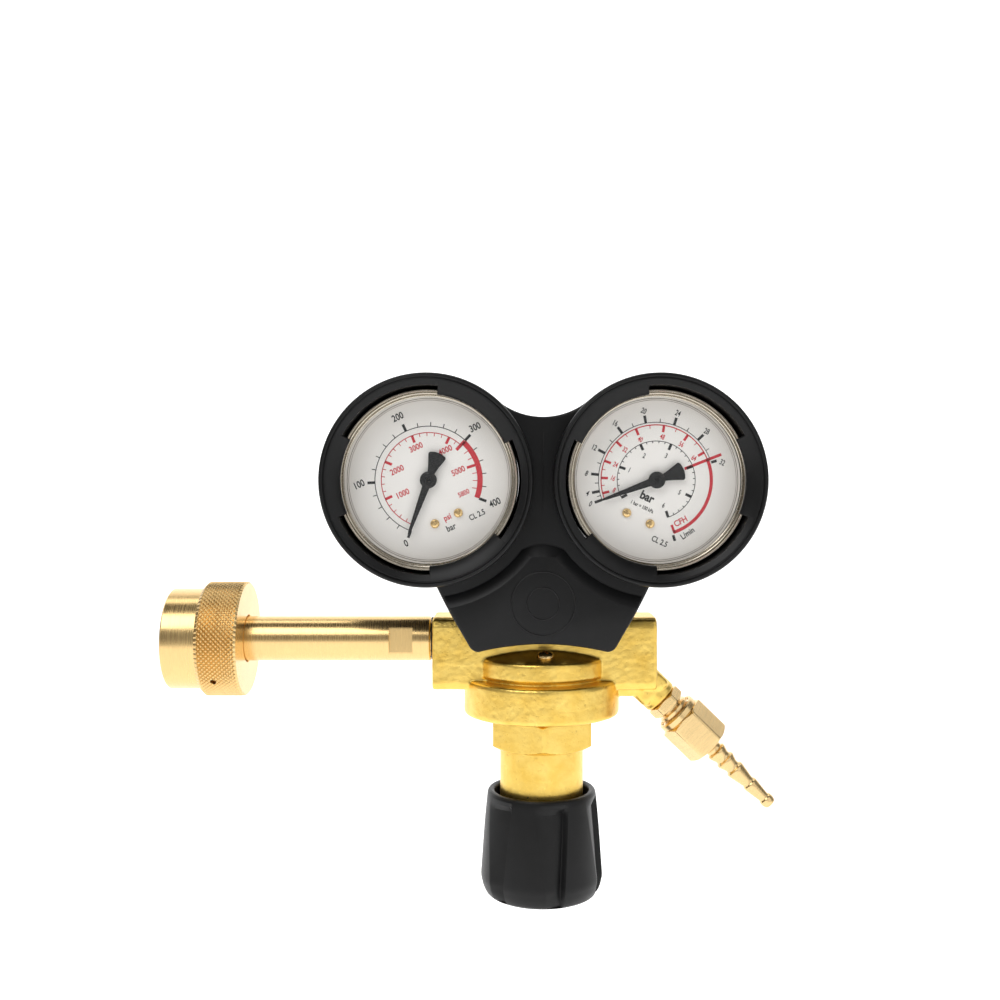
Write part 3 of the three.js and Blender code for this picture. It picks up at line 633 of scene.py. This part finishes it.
def knob_radius(r, z, angle):
    """Flutes that rise slowly to the left and end in a crisp step on the right."""
    if z < -91 or r < 17.3 or z > -55.5:
        return r
    t = down_the_knob(z)
    fade = min(max((-56.4 - z) / 2.6, 0.0), 1.0)
    low_fade = 1.0 - 0.55 * min(max((-86.5 - z) / 4.5, 0.0), 1.0)
    front = math.degrees(angle) + 90.0
    right = FLUTE_EDGE - FLUTE_SLANT * t
    width = FLUTE_WIDTH - FLUTE_NARROWING * t
    place = (right - front + 0.001) % (360.0 / FLUTES)
    if place < FLUTE_STEP:
        share = place / FLUTE_STEP
    elif place < width:
        share = 1.0 - (place - FLUTE_STEP) / (width - FLUTE_STEP)
    else:
        share = 0.0
    return r - FLUTE_DEPTH * share * fade * low_fade


def knob():
    rows = []
    for (r0, z0), (r1, z1) in zip(KNOB_PROFILE, KNOB_PROFILE[1:]):
        steps = 2 if -91 < z0 < -56 else 1
        rows += [(r0 + (r1 - r0) * k / steps, z0 + (z1 - z0) * k / steps) for k in range(steps)]
    rows.append(KNOB_PROFILE[-1])
    verts, faces = revolve(rows, 420, knob_radius, knob_twist)
    obj = new_piece("knob_shell", verts, faces, ON_BONNET, KNOB_PLASTIC, 14)
    return install(obj, "knob_assembly", "black_plastic", "knob")


# ---------------------------------------------------------------- inlet


def inlet_stem():
    """The stem with its nose, flange and two wrench flats."""
    flats_start, flats_end, half_flats = 72.3, 80.7, 6.5
    end = 88.0

    def flats(r, x, angle):
        if flats_start < x < flats_end and r > 6.6:
            across = abs(math.sin(angle))
            if across > 1e-6:
                return min(r, half_flats / across)
        return r

    rows = [(4.3, 10.8), (4.3, 0.3), (4.6, 0), (6.2, 0), (6.7, 0.6), (6.7, 2.6), (5.5, 2.6),
            (5.5, 5.2), (6.7, 5.2), (7.9, 7), (7.9, 11.4), (12.3, 11.4), (12.5, 11.6),
            (12.5, 14.2), (12.3, 14.4), (8, 14.4), (8, 40), (8, flats_start - 0.02),
            (8, flats_start + 0.02), (8, 76.5), (8, flats_end - 0.02), (8, flats_end + 0.02),
            (8, end - 1.4), (7.6, end - 1.0), (6.4, end - 1.0),
            (6.4, end + 10), (0, end + 10)]
    verts, faces = revolve(rows, 160, flats)
    obj = new_piece("inlet_stem_bar", verts, faces, ALONG_X, TURNED_X, 32)
    return install(obj, ROOT, "machined_brass", "inlet_stem")


def handwheel():
    """The loose hand nut: a smooth collar, a knurled grip and one small vent hole."""
    collar = [(14.5, 16.5), (14.5, -5.9), (15.2, -6.7), (17.5, -6.7), (18, -6.2), (18, 5.8),
              (19.5, 5.8)]
    start, stop, pitch = 6.9, 19.9, 1.72
    across, depth, flat_share = 74, 0.48, 0.45
    per = 10
    grip_rows = int(round((stop - start) / pitch * per))
    rows = collar + [(20.5, start + (stop - start) * k / grip_rows) for k in range(grip_rows + 1)]
    rows += [(19.9, 20.5), (8.6, 20.5), (8.4, 20.2), (8.4, 16.5), (14.5, 16.5)]

    def knurl(r, x, angle):
        if r < 20.4:
            return r
        u = angle / (2 * math.pi) * across
        v = x / pitch
        a = abs(((u + v) % 1.0) - 0.5) * 2
        b = abs(((u - v) % 1.0) - 0.5) * 2
        return r - depth * max(max(a, b) - flat_share, 0.0) / (1.0 - flat_share)

    verts, faces = revolve(rows, across * per, knurl)
    obj = new_piece("handwheel_knurled", verts, faces, ALONG_X, KNURLED, 40)
    obj.data.materials.append(TURNED_X)
    for polygon in obj.data.polygons:
        x = polygon.center.x / MM
        radius = math.hypot(polygon.center.y, polygon.center.z) / MM
        polygon.material_index = 0 if (start < x < stop and radius > 19.8) else 1
    drill = lathe("drill", [(0, 12), (1.1, 12), (1.1, 24), (0, 24)],
                  at(11.7, 0, 0) @ turn("X", 130.8), KNURLED, 20, 0, None)
    cut_out(obj, drill)
    finish_mesh(obj, None, 40)
    return install(obj, "nut", "machined_brass", "handwheel_nut")


# ---------------------------------------------------------------- outlet


def outlet():
    """The nipple, the union nut and the barbed hose tail."""
    rows = [(0, -8), (4.4, -8), (4.4, 0.3), (5.8, 0.35)] + hex_rows(NIPPLE_FLATS, 0.4, 4.3, 6)
    rows += [(4.6, 4.4), (4.5, 5.4), (4.6, 5.5), (6.0, 5.6), (6.0, 6.7), (5.0, 6.8), (5.0, 7.4),
             (6.3, 7.5), (6.3, 15.4), (0, 15.4)]

    def nipple_shape(r, z, a):
        if 0.38 < z < 4.32:
            return min(r, hex_radius(NIPPLE_FLATS, a, 0.0))
        return r

    verts, faces = revolve(rows, 144, nipple_shape)
    nipple = new_piece("outlet_nipple_bar", verts, faces, ON_OUTLET, TURNED_OUTLET, 30)
    install(nipple, ROOT, "machined_brass", "outlet_nipple")

    rows = [(6.6, 21.2), (6.6, 7.6), (6.9, 7.0), (7.4, 7.0), (7.9, 7.5), (7.9, 9.3), (7.7, 9.6)]
    rows += hex_rows(UNION_FLATS, 9.7, 24.3, 9)
    rows += [(3.9, 24.3), (3.7, 24.1), (3.7, 21.2), (6.6, 21.2)]

    def nut_shape(r, z, a):
        if 9.68 < z < 24.32 and r > 4:
            return min(r, hex_radius(UNION_FLATS, a, 0.0))
        return r

    verts, faces = revolve(rows, 192, nut_shape)
    nut = new_piece("union_nut_hex", verts, faces, ON_OUTLET, TURNED_OUTLET, 24)
    install(nut, "union", "machined_brass", "union_nut")

    profile = [(1.2, 15.9), (3.9, 15.9), (6.2, 18.3), (6.2, 20.9), (3.4, 20.9), (3.4, 25.6),
               (3.0, 26.0), (3.0, 27.2), (3.75, 27.7), (3.75, 28.5), (3.0, 30.6), (3.0, 31.6),
               (3.7, 32.1), (3.7, 32.9), (2.75, 35.4), (2.75, 36.4), (3.5, 37.0), (3.5, 37.9),
               (2.4, 43.4), (2.4, 44.2), (2.85, 44.7), (2.85, 45.5), (2.05, 51.6), (2.05, 52.0),
               (2.55, 52.5), (2.6, 53.9), (2.3, 55.0), (1.9, 55.4), (1.2, 55.4), (1.2, 50),
               (0, 50)]
    tail = lathe("hose_tail_bar", profile, ON_OUTLET, TURNED_OUTLET, 72, 0.2, 40)
    install(tail, "tail", "machined_brass", "hose_tail")


# ---------------------------------------------------------------- guard

LEFT_TABS = [(25, 83), (152, 203), (272, 322)]  # start and end angles, mirrored on the right
SADDLE_Z = 103.8
SADDLE_RADIUS = 24.5
APRON_SIDE = [(25.4, 0.2), (27, 3), (29.4, 7.1), (32, 11.6), (34.6, 16.6), (36.5, 20.5), (38, 23.4)]
WEB_FRONT = -23.0
PAD_FRONT = -26.0
EMBLEM_Z = 15.3


def apron_outline():
    """(x, z) outline of the web and apron, clockwise from the saddle."""
    tangent = math.degrees(math.atan2(GAUGE_Z - SADDLE_Z, GAUGE_OFFSET))
    top = arc(0, SADDLE_Z, SADDLE_RADIUS, -180 - tangent, tangent, 40)
    right = [(30, 66), (38.5, 40)] + APRON_SIDE[::-1]
    corner = curve_points((25.4, 0.2), (24.3, -1.7), (22.2, -1.75), 8)
    bottom = curve_points((22.2, -1.75), (11, 0.9), (0, 0.95), 12)
    half = right[:-1] + corner[:-1] + bottom[:-1]
    left = [(-x, z) for x, z in reversed(half)]
    return top + half + [(0, 0.95)] + left


def apron_limit(x, z):
    """Keeps a point a millimetre inside the apron's slanted side edges."""
    xs, zs = zip(*APRON_SIDE)
    edge = np.interp(z, zs, xs) - 1.0
    return (min(max(x, -edge), edge), z)


def pad_outlines():
    """Matching lower and upper outlines of the raised pad."""
    def half(radius, apex, inset):
        start = -math.degrees(math.pi / 2 + 0.10 + inset * 0.012)
        points = arc(GAUGE_OFFSET, GAUGE_Z, radius, start, -143.5, 26)
        last = points[-1]
        control = (last[0] * 0.42, apex + 0.15)
        return points + curve_points(last, control, (0, apex), 14)[1:]

    def whole(radius, apex, inset):
        right = half(radius, apex, inset)
        left = [(-x, z) for x, z in reversed(right)][1:]
        edge = inset * 0.25
        down = [(-33.2 + edge, 14.2 - inset * 1.5), (-29.6 + edge, 8.0), (-26.4 + edge, 2.6)]
        low = [(-24.4 + edge, -0.3), (-22.4, -1.0 + edge), (-11, 1.1 + edge), (0, 1.65 + edge)]
        side = down + low
        mirror = [(-x, z) for x, z in reversed(side)][1:]
        return [apron_limit(x, z) for x, z in right + left + side + mirror]

    return whole(40.4, 35.3, 0.0), whole(44.4, 31.2, 1.4)


def ring_profile():
    """(radius, depth) section of a guard ring, with its back lip and inner front step."""
    return [(32.3, 6), (36.2, 6), (36.5, 5.6), (36.5, -28.6), (36.35, -29.4), (35.9, -29.9),
            (35.45, -30.0), (35.1, -29.85), (34.95, -29.45), (34.8, -29.35), (34.6, -29.5),
            (34.3, -29.55), (34.0, -29.4), (32.3, -28.4), (32.3, 1.0), (31.62, 1.6),
            (31.62, 5.6), (32.3, 6)]


def tab_piece(side, start, end):
    """One of the guard's inner front tabs, between two angles."""
    rows = [(34.4, -29.2), (34.2, -29.45), (33.9, -29.4), (29.75, -26.9), (29.35, -26.4),
            (29.3, -25.2), (29.5, -24.8), (32.6, -24.6), (34.4, -24.6)]
    if side > 0:
        start, end = 180 - end, 180 - start
    steps = max(6, int((end - start) / 2))
    verts = []
    for k in range(steps + 1):
        a = math.radians(start + (end - start) * k / steps)
        verts += [(r * math.cos(a), y, r * math.sin(a)) for r, y in rows]
    n = len(rows)
    faces = [tuple(range(n)), tuple(range(steps * n, steps * n + n))]
    faces += [(k * n + i, k * n + (i + 1) % n, (k + 1) * n + (i + 1) % n, (k + 1) * n + i)
              for k in range(steps) for i in range(n)]
    obj = new_piece("tab", verts, faces, gauge_centre(side), PLASTIC, 40)
    return applied(bevel(obj, 0.3, 2, 50))


def web_piece():
    """The plate between the rings, open where the gauges sit and hollow at the back."""
    web = extrude_face("web", apron_outline(), WEB_FRONT, -12.0, ON_BONNET, PLASTIC)
    applied(bevel(web, 1.2, 4, 50))
    for side in (-1, 1):
        cutter = lathe("cutter", [(0, -40), (33.5, -40), (33.5, 20), (0, 20)],
                       gauge_centre(side) @ ALONG_Y, None, 128, 0, None)
        cut_out(web, cutter)
    inner = [(x * 0.93, 1.6 + (z - 1.6) * 0.95) for x, z in apron_outline()]
    cut_out(web, extrude_face("hollow", inner, -19.5, -10.0, ON_BONNET, None))
    finish_mesh(web, PLASTIC, 30)
    return web


def pad_piece():
    """The raised pad on the apron, with sloping sides."""
    low, high = pad_outlines()
    n = len(low)
    layers = ((low, -22.0), (low, -23.4), (high, PAD_FRONT))
    verts = [(x, y, z) for outline, y in layers for x, z in outline]
    faces = [(j * n + i, j * n + (i + 1) % n, (j + 1) * n + (i + 1) % n, (j + 1) * n + i)
             for j in range(2) for i in range(n)]
    faces += [tuple(range(2 * n, 3 * n)), tuple(range(n - 1, -1, -1))]
    pad = new_piece("pad", verts, faces, ON_BONNET, PLASTIC, None)
    applied(bevel(pad, 0.8, 4, 20))
    finish_mesh(pad, PLASTIC, 30)
    return pad


def apron_details():
    """Two plain raised rings on the pad, and the crease up the web."""
    pieces = []
    place = ON_BONNET @ at(0, PAD_FRONT, EMBLEM_Z) @ ALONG_Y
    for radius, width, height in ((10.9, 0.30, 0.28), (5.5, 0.28, 0.24)):
        ridge = [(radius - width, 0.0), (radius - width * 0.4, -height),
                 (radius + width * 0.4, -height), (radius + width, 0.0), (radius - width, 0.0)]
        pieces.append(lathe("emblem", ridge, place, PLASTIC, 96, 0, 60))
    crease = [(-0.35, 0.0), (0.0, -0.16), (0.35, 0.0)]
    verts = [(x, WEB_FRONT + y, z) for z in (46, 60, 74) for x, y in crease]
    faces = [(0, 1, 4, 3), (1, 2, 5, 4), (3, 4, 7, 6), (4, 5, 8, 7)]
    pieces.append(new_piece("crease", verts, faces, ON_BONNET, PLASTIC, 60))
    return pieces


def ring_pieces(side):
    """One guard ring, slotted for the gauge's socket, and its tabs."""
    ring = lathe("ring", ring_profile(), gauge_centre(side) @ ALONG_Y, PLASTIC, 180, 0.0, 50)
    cut_out(ring, box_piece("slot", (-8.6, -8.8, -45), (8.6, 8, -20), on_gauge(side)))
    finish_mesh(ring, PLASTIC, 50)
    return [ring] + [tab_piece(side, start, end) for start, end in LEFT_TABS]


def guard():
    pieces = [web_piece(), pad_piece()] + apron_details()
    for side in (-1, 1):
        pieces += ring_pieces(side)
    obj = join("guard_moulding", pieces)
    finish_mesh(obj, PLASTIC, None)
    return install(obj, ROOT, "black_plastic", "gauge_guard")


# ---------------------------------------------------------------- dials

PRINT_Y = -15.46
CAPITAL_SHARE = 0.72  # height of a capital letter as a share of the font's size


class Print:
    """Flat printed shapes on one dial, in the dial's own (x, z) plane."""

    def __init__(self, tilt_degrees):
        self.tilt = tilt_degrees
        self.verts = []
        self.faces = []

    def local(self, world_degrees):
        """The dial's own angle, in radians, of an angle seen from the front."""
        return math.radians(world_degrees + self.tilt)

    def arc(self, radius, width, start, end):
        steps = max(4, int(abs(end - start) / 2))
        base = len(self.verts)
        for k in range(steps + 1):
            a = self.local(start + (end - start) * k / steps)
            for r in (radius - width / 2, radius + width / 2):
                self.verts.append((r * math.cos(a), PRINT_Y, r * math.sin(a)))
        self.faces += [(base + 2 * k, base + 2 * k + 1, base + 2 * k + 3, base + 2 * k + 2)
                       for k in range(steps)]

    def tick(self, degrees, inner, outer, width):
        a = self.local(degrees)
        c, s = math.cos(a), math.sin(a)
        base = len(self.verts)
        half = width / 2
        for r, w in ((inner, -half), (inner, half), (outer, half), (outer, -half)):
            self.verts.append((r * c - w * s, PRINT_Y, r * s + w * c))
        self.faces.append((base, base + 1, base + 2, base + 3))

    def between(self, angles, inner, outer, width):
        """Ticks halfway between neighbouring angles."""
        for a, b in zip(angles, angles[1:]):
            self.tick((a + b) / 2, inner, outer, width)

    def text(self, words, degrees, radius, height, squeeze, lean=0.0, bold=0.028):
        """Words centred at a world angle and radius; lean turns them in the dial's frame."""
        curve = bpy.data.curves.new("words", "FONT")
        curve.body = words
        curve.align_x = "CENTER"
        curve.align_y = "CENTER"
        curve.size = height / CAPITAL_SHARE
        curve.offset = bold * height
        curve.resolution_u = 3
        obj = new_object("words", curve)
        graph = bpy.context.evaluated_depsgraph_get()
        mesh = bpy.data.meshes.new_from_object(obj.evaluated_get(graph))
        a = self.local(degrees)
        cx, cz = radius * math.cos(a), radius * math.sin(a)
        c, s = math.cos(math.radians(lean)), math.sin(math.radians(lean))
        base = len(self.verts)
        for v in mesh.vertices:
            x, z = v.co.x * squeeze, v.co.y
            self.verts.append((cx + x * c - z * s, PRINT_Y, cz + x * s + z * c))
        self.faces += [tuple(base + i for i in p.vertices) for p in mesh.polygons]
        bpy.data.objects.remove(obj)
        bpy.data.meshes.remove(mesh)

    def piece(self, name, side, material):
        return new_piece(name, self.verts, self.faces, on_gauge(side), material, None)


def pressure_prints(black, red):
    """Black bar figures and ticks outside, red psi ones inside, and the red end of the scale."""
    zero, span = 250.4, 270.6
    red_start = zero - span * 0.75
    black.arc(18.85, 0.28, zero, red_start)
    for k in range(21):
        angle = zero - span * k / 20
        major = k % 5 == 0
        black.tick(angle, 18.75, 21.5 if major else 20.3, 0.95 if major else 0.30)
    for k in range(5):
        angle = zero - span * k / 4 + (1.2 if k else 0)
        black.text(str(100 * k), angle, 24.5 if k else 23.6, 2.45, 0.80)
    red.arc(17.95, 1.9, red_start, zero - span)
    red.arc(16.6, 0.30, zero, red_start)
    red.tick(red_start, 14.3, 18.6, 1.15)
    per_thousand = 46.5
    for k in range(1, 29):
        major = k % 5 == 0
        outer = 16.7 if k * 200 < 4370 else 17.1
        red.tick(zero - per_thousand * k / 5, 14.0 if major else 15.4, outer, 0.95 if major else 0.26)
    spots = ((1000, 208, 10.4), (2000, 163, 11.6), (3000, 111.5, 12.2), (4000, 60.8, 11.9),
             (5000, 16.7, 10.8), (5800, -20.9, 13.1))
    for number, angle, radius in spots:
        red.text(str(number), angle, radius, 1.75 if number == 5800 else 2.1, 0.86)
    red.text("psi", -63.5, 14.6, 2.1, 0.85)
    black.text("bar", -64.9, 18.4, 2.2, 0.85)
    black.text("CL 2.5", -35.9, 20.9, 2.0, 0.8)


def flow_prints(black, red):
    """Two outer flow scales in black and red, and a black bar scale inside."""
    outer = {0: 200.1, 4: 191.2, 8: 174.7, 12: 152.4, 16: 126.0, 20: 100.3, 24: 71.9, 28: 43.8,
             32: 17.7}
    black.arc(20.2, 0.25, 200.1, 20.0)
    for number, angle in outer.items():
        black.tick(angle, 20.2, 22.9 if number < 32 else 22.2, 0.95)
        last = number == 32
        black.text(str(number), angle - (3 if last else 0), 23.9 if last else 24.5, 2.0, 0.66)
    black.between(list(outer.values()), 20.2, 21.5, 0.28)
    red_marks = {8: 193.8, 16: 177.8, 24: 159.6, 32: 136.0, 40: 111.6, 48: 81.8, 56: 54.8,
                 64: 30.0}
    red.arc(19.3, 0.38, 200.1, 21.5)
    for number, angle in red_marks.items():
        red.tick(angle, 16.9, 19.3, 0.9)
        red.text(str(number), angle, 15.2, 1.8, 0.66)
    red.between(list(red_marks.values()), 18.1, 19.3, 0.25)
    black.arc(13.65, 0.25, 206.0, -73.5)
    for k in range(31):
        angle = 206.8 - 46.5 * k / 5
        major = k % 5 == 0
        black.tick(angle, 11.4 if major else 12.9, 13.7, 0.95 if major else 0.28)
    spots = ((1, 160, 10.0), (2, 116.5, 9.4), (3, 67.4, 9.1), (5, -28.3, 9.3), (6, -74, 9.3))
    for number, angle, radius in spots:
        black.text(str(number), angle, radius, 1.75, 0.7)
    red.tick(21.5, 10.7, 24.5, 1.0)
    red.arc(19.3, 1.15, 21.5, -71.8)
    red.tick(-71.0, 16.6, 19.5, 0.9)
    black.tick(-72.9, 20.2, 22.3, 0.95)
    black.text("bar", -118, 6.8, 3.0, 0.9, 0.0, 0.05)
    black.text("1 bar = 100 kPa", -118, 10.6, 1.35, 0.72)
    black.text("CL 2.5", -86.9, 21.6, 2.0, 0.8)
    red.text("CFH", -59.5, 16.9, 2.1, 0.9, 53.0)
    black.text("L/min", -59.6, 21.7, 2.0, 0.85, 60.0)


def pointer(prefix, side):
    """The needle's blade and tail, and its hub, at the dial's zero."""
    outline = [(-1.35, 2.0), (-0.5, 18.8), (-0.3, 20.3), (0.3, 20.3), (0.5, 18.8),
               (1.35, 2.0), (1.2, -2.4), (1.9, -5.0), (3.15, -8.6)]
    outline += curve_points((3.15, -8.6), (3.2, -9.4), (2.5, -9.6), 4)[1:]
    outline += curve_points((2.5, -9.6), (0, -10.6), (-2.5, -9.6), 8)[1:]
    outline += curve_points((-2.5, -9.6), (-3.2, -9.4), (-3.15, -8.6), 4)[1:]
    outline += [(-1.9, -5.0), (-1.2, -2.4)]
    rest = on_gauge(side) @ turn("Y", -135)
    blade = extrude_face("blade", outline, -17.6, -17.15, rest, POINTER_BLACK)
    applied(bevel(blade, 0.12, 2, 40))
    hub = lathe("hub", [(1.0, -17.0), (2.7, -17.0), (2.95, -17.3), (2.95, -17.9), (2.5, -18.3),
                        (1.5, -18.35), (1.3, -18.0), (0.9, -18.0), (0.9, -17.0), (1.0, -17.0)],
                rest @ ALONG_Y, POINTER_BLACK, 48, 0.0, 40)
    obj = join(prefix + "_needle", [blade, hub])
    finish_mesh(obj, POINTER_BLACK, None)
    return install(obj, prefix + "_needle", "pointer_black", prefix + "_pointer")


def dial(prefix, side, prints):
    """The dial plate and its printed marks."""
    plate = [(1.3, -14.8), (29.55, -14.8), (29.6, -15.0), (29.45, -15.35), (29.2, -15.4),
             (1.3, -15.4), (1.3, -14.8)]
    face = lathe(prefix + "_dial_plate", plate, on_gauge(side) @ ALONG_Y, DIAL_WHITE, 128, 0.0, 40)
    install(face, ROOT, "dial_white", prefix + "_dial")
    black, red = Print(side * GAUGE_TILT), Print(side * GAUGE_TILT)
    prints(black, red)
    for ink, mark, material in ((black, "black", INK_BLACK), (red, "red", INK_RED)):
        install(ink.piece(f"{prefix}_print_{mark}", side, material), ROOT, "dial_white")


def dial_screws(prefix, side):
    """The two slotted screws that hold the dial."""
    profile = [(0, -12.4), (0.8, -12.4), (0.8, -15.5), (1.55, -15.6), (1.6, -16.0),
               (1.3, -16.4), (0.6, -16.55), (0, -16.55)]
    for name, x in (("left", -4.5), ("right", 4.5)):
        spot = on_gauge(side) @ at(x, 0, -14.8) @ ALONG_Y
        head = lathe("dial_screw", profile, spot, TURNED_Y, 32, 0.1, 40)
        cut_out(head, box_piece("slot", (-1.9, -0.22, -17.5), (1.9, 0.22, -16.25),
                                spot @ turn("Z", 40 + 50 * x)))
        finish_mesh(head, TURNED_Y, 40)
        install(head, ROOT, "machined_brass", f"{prefix}_dial_screw_{name}")


def gauge_shell(prefix, place):
    """The case, the window's stepped rim with two lines on the dial, and the pane."""
    case = lathe(prefix + "_case_cup",
                 [(0, 9.5), (28.8, 9.5), (30.6, 9.1), (31.5, 8), (31.5, 7.2), (31.2, 6.9),
                  (31.2, 6.4), (31.5, 6.1), (31.5, -19), (30.3, -19), (30.3, 8), (0, 8)],
                 place, CASE_PAINT, 128, 0.2, 40)
    install(case, ROOT, "case_black", prefix + "_gauge_case")
    liner = lathe(prefix + "_window_rim",
                  [(29.9, -14.6), (29.9, -19.6), (28.9, -20.0), (28.9, -20.9), (29.15, -21.1),
                   (29.3, -20.7), (29.5, -20.7), (29.7, -21.8), (29.95, -21.9), (30.1, -21.3),
                   (30.3, -21.3), (30.45, -22.8), (30.7, -23.2), (31.0, -23.2), (31.35, -22.7),
                   (31.35, -19.3), (30.15, -19.2), (30.15, -14.6), (29.9, -14.6)],
                  place, RIM_METAL, 160, 0.0, 30)
    install(liner, ROOT, "clear_window")
    low, high = -15.45, -15.52
    lines = [lathe("rim_line", [(r, low), (r + w, low), (r + w, high), (r, high), (r, low)],
                   place, RIM_LINE, 128, 0.0, 40) for r, w in ((27.95, 0.10), (28.5, 0.16))]
    install(join(prefix + "_rim_lines", lines), ROOT, "dial_white")
    pane = lathe(prefix + "_window_pane",
                 [(0, -20.4), (28.8, -20.4), (28.8, -22.2), (28.3, -22.5), (0, -22.5)],
                 place, WINDOW_CLEAR, 128, 0.15, 40)
    install(pane, ROOT, "clear_window", prefix + "_window")


def gauge(prefix, side, prints):
    dial(prefix, side, prints)
    dial_screws(prefix, side)
    pointer(prefix, side)
    gauge_shell(prefix, on_gauge(side) @ ALONG_Y)


# ---------------------------------------------------------------- inner nodes

CAD_LOOKS = {
    "adjusting_screw": STEEL, "knob_fixing_screw": STEEL, "main_spring": STEEL,
    "poppet_spring": STEEL, "relief_spring": STEEL, "push_pin": STEEL, "thrust_washer": STEEL,
    "knob_end_cap": KNOB_PLASTIC, "diaphragm": RUBBER, "nose_o_ring": RUBBER,
    "stem_gasket": RUBBER, "inlet_filter": BRONZE, "flow_orifice": TURNED_OUTLET,
    "spring_button": TURNED_Z, "diaphragm_plate": TURNED_Z, "slip_ring": TURNED_Z,
    "valve_nozzle": TURNED_Z, "poppet": TURNED_Z, "relief_body": TURNED_Y,
    "relief_cap": TURNED_Y, "relief_poppet": TURNED_Y,
}
GAUGE_LOOKS = {
    "gauge_socket": TURNED_Z, "socket_gasket": STEEL, "bourdon_tube": BRONZE,
    "movement_frame": TURNED_Y, "sector_gear": TURNED_Y, "pinion_arbor": TURNED_Y,
    "blowout_plug": RUBBER,
}


def dress_cad_nodes():
    """Gives the CAD nodes that stay their own materials."""
    looks = dict(CAD_LOOKS)
    for prefix in ("contents", "flow"):
        for name, material in GAUGE_LOOKS.items():
            looks[f"{prefix}_{name}"] = material
    for name, material in looks.items():
        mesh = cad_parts[name].data
        mesh.materials.clear()
        mesh.materials.append(material)


# ---------------------------------------------------------------- stage


def studio_paper(name, value, glow=0.0):
    s = Shader(name)
    tint = s.mix(s.noise(60.0, 2.0), (value * 0.99,) * 3, (value,) * 3)
    s.link(tint, s.bsdf.inputs["Base Color"])
    s.set(Roughness=0.9, Specular_IOR_Level=0.1)
    s.set(Emission_Color=(1, 1, 1, 1), Emission_Strength=glow)
    return s.material


def build_stage():
    """A pale floor that curves up into a backdrop."""
    floor, bend_start, bend, steps = -0.24, 0.7, 0.5, 12
    profile = [(-1.6, floor), (bend_start, floor)]
    for k in range(1, steps + 1):
        a = math.radians(90 * k / steps)
        profile.append((bend_start + bend * math.sin(a), floor + bend * (1 - math.cos(a))))
    profile.append((bend_start + bend, 2.2))
    verts = [(x, y, z) for y, z in profile for x in (-2.4, 2.6)]
    faces = [(2 * i, 2 * i + 1, 2 * i + 3, 2 * i + 2) for i in range(len(profile) - 1)]
    mesh = bpy.data.meshes.new("sweep")
    mesh.from_pydata(verts, [], faces)
    mesh.polygons.foreach_set("use_smooth", [True] * len(mesh.polygons))
    mesh.materials.append(studio_paper("backdrop", 0.95, 0.58))
    new_object("sweep", mesh)


def area_light(name, place, target, size, power):
    data = bpy.data.lights.new(name, "AREA")
    data.shape = "RECTANGLE"
    data.size, data.size_y = size
    data.energy = power
    light = new_object(name, data)
    light.location = place
    aim = Vector(target) - Vector(place)
    light.rotation_euler = aim.to_track_quat("-Z", "Y").to_euler()


def dark_card(name, corners):
    """A card that only the metal's reflections show."""
    mesh = bpy.data.meshes.new(name)
    mesh.from_pydata(corners, [], [(0, 1, 2, 3)])
    mesh.materials.append(studio_paper(name, 0.02))
    card = new_object(name, mesh)
    card.visible_camera = False
    card.visible_shadow = False
    card.visible_diffuse = False


def build_lights():
    world = bpy.data.worlds.new("studio")
    world.use_nodes = True
    background = world.node_tree.nodes["Background"]
    background.inputs["Color"].default_value = (1, 1, 1, 1)
    background.inputs["Strength"].default_value = 0.24
    bpy.context.scene.world = world
    centre = (0.118, 0.0, 0.01)
    area_light("key", (-0.35, -0.75, 0.85), centre, (0.9, 0.7), 5.6)
    area_light("fill", (0.75, -0.7, 0.35), centre, (0.8, 0.9), 1.8)
    area_light("low", (0.1, -0.7, -0.15), centre, (1.2, 0.35), 0.3)
    area_light("back_wash", (0.1, 0.25, 1.1), (0.1, 1.2, 0.1), (2.2, 0.6), 8.0)
    left, right, front, back, height = -0.3, 0.6, -0.30, 0.05, 0.62
    dark_card("top_card", [(left, front, height), (right, front, height), (right, back, height),
                           (left, back, height)])


def build_camera():
    """Looks along +Y from the height of the gauges' centres."""
    scene = bpy.context.scene
    camera = new_object("camera", bpy.data.cameras.new("camera"))
    left_of_bonnet, distance = 9.27, 0.418
    camera.location = ((BONNET_X - left_of_bonnet) * MM, -distance, GAUGE_Z * MM)
    camera.rotation_euler = (math.radians(90), 0, 0)
    camera.data.lens = 41.4
    camera.data.sensor_width = 36.0
    camera.data.shift_x = -0.016
    camera.data.shift_y = -0.020
    camera.data.clip_start = 0.01
    scene.camera = camera
    scene.view_settings.view_transform = "Standard"


forged_body()
boss_screw()
bonnet()
knob()
inlet_stem()
handwheel()
outlet()
guard()
gauge("contents", -1, pressure_prints)
gauge("flow", 1, flow_prints)
dress_cad_nodes()
build_stage()
build_lights()
build_camera()
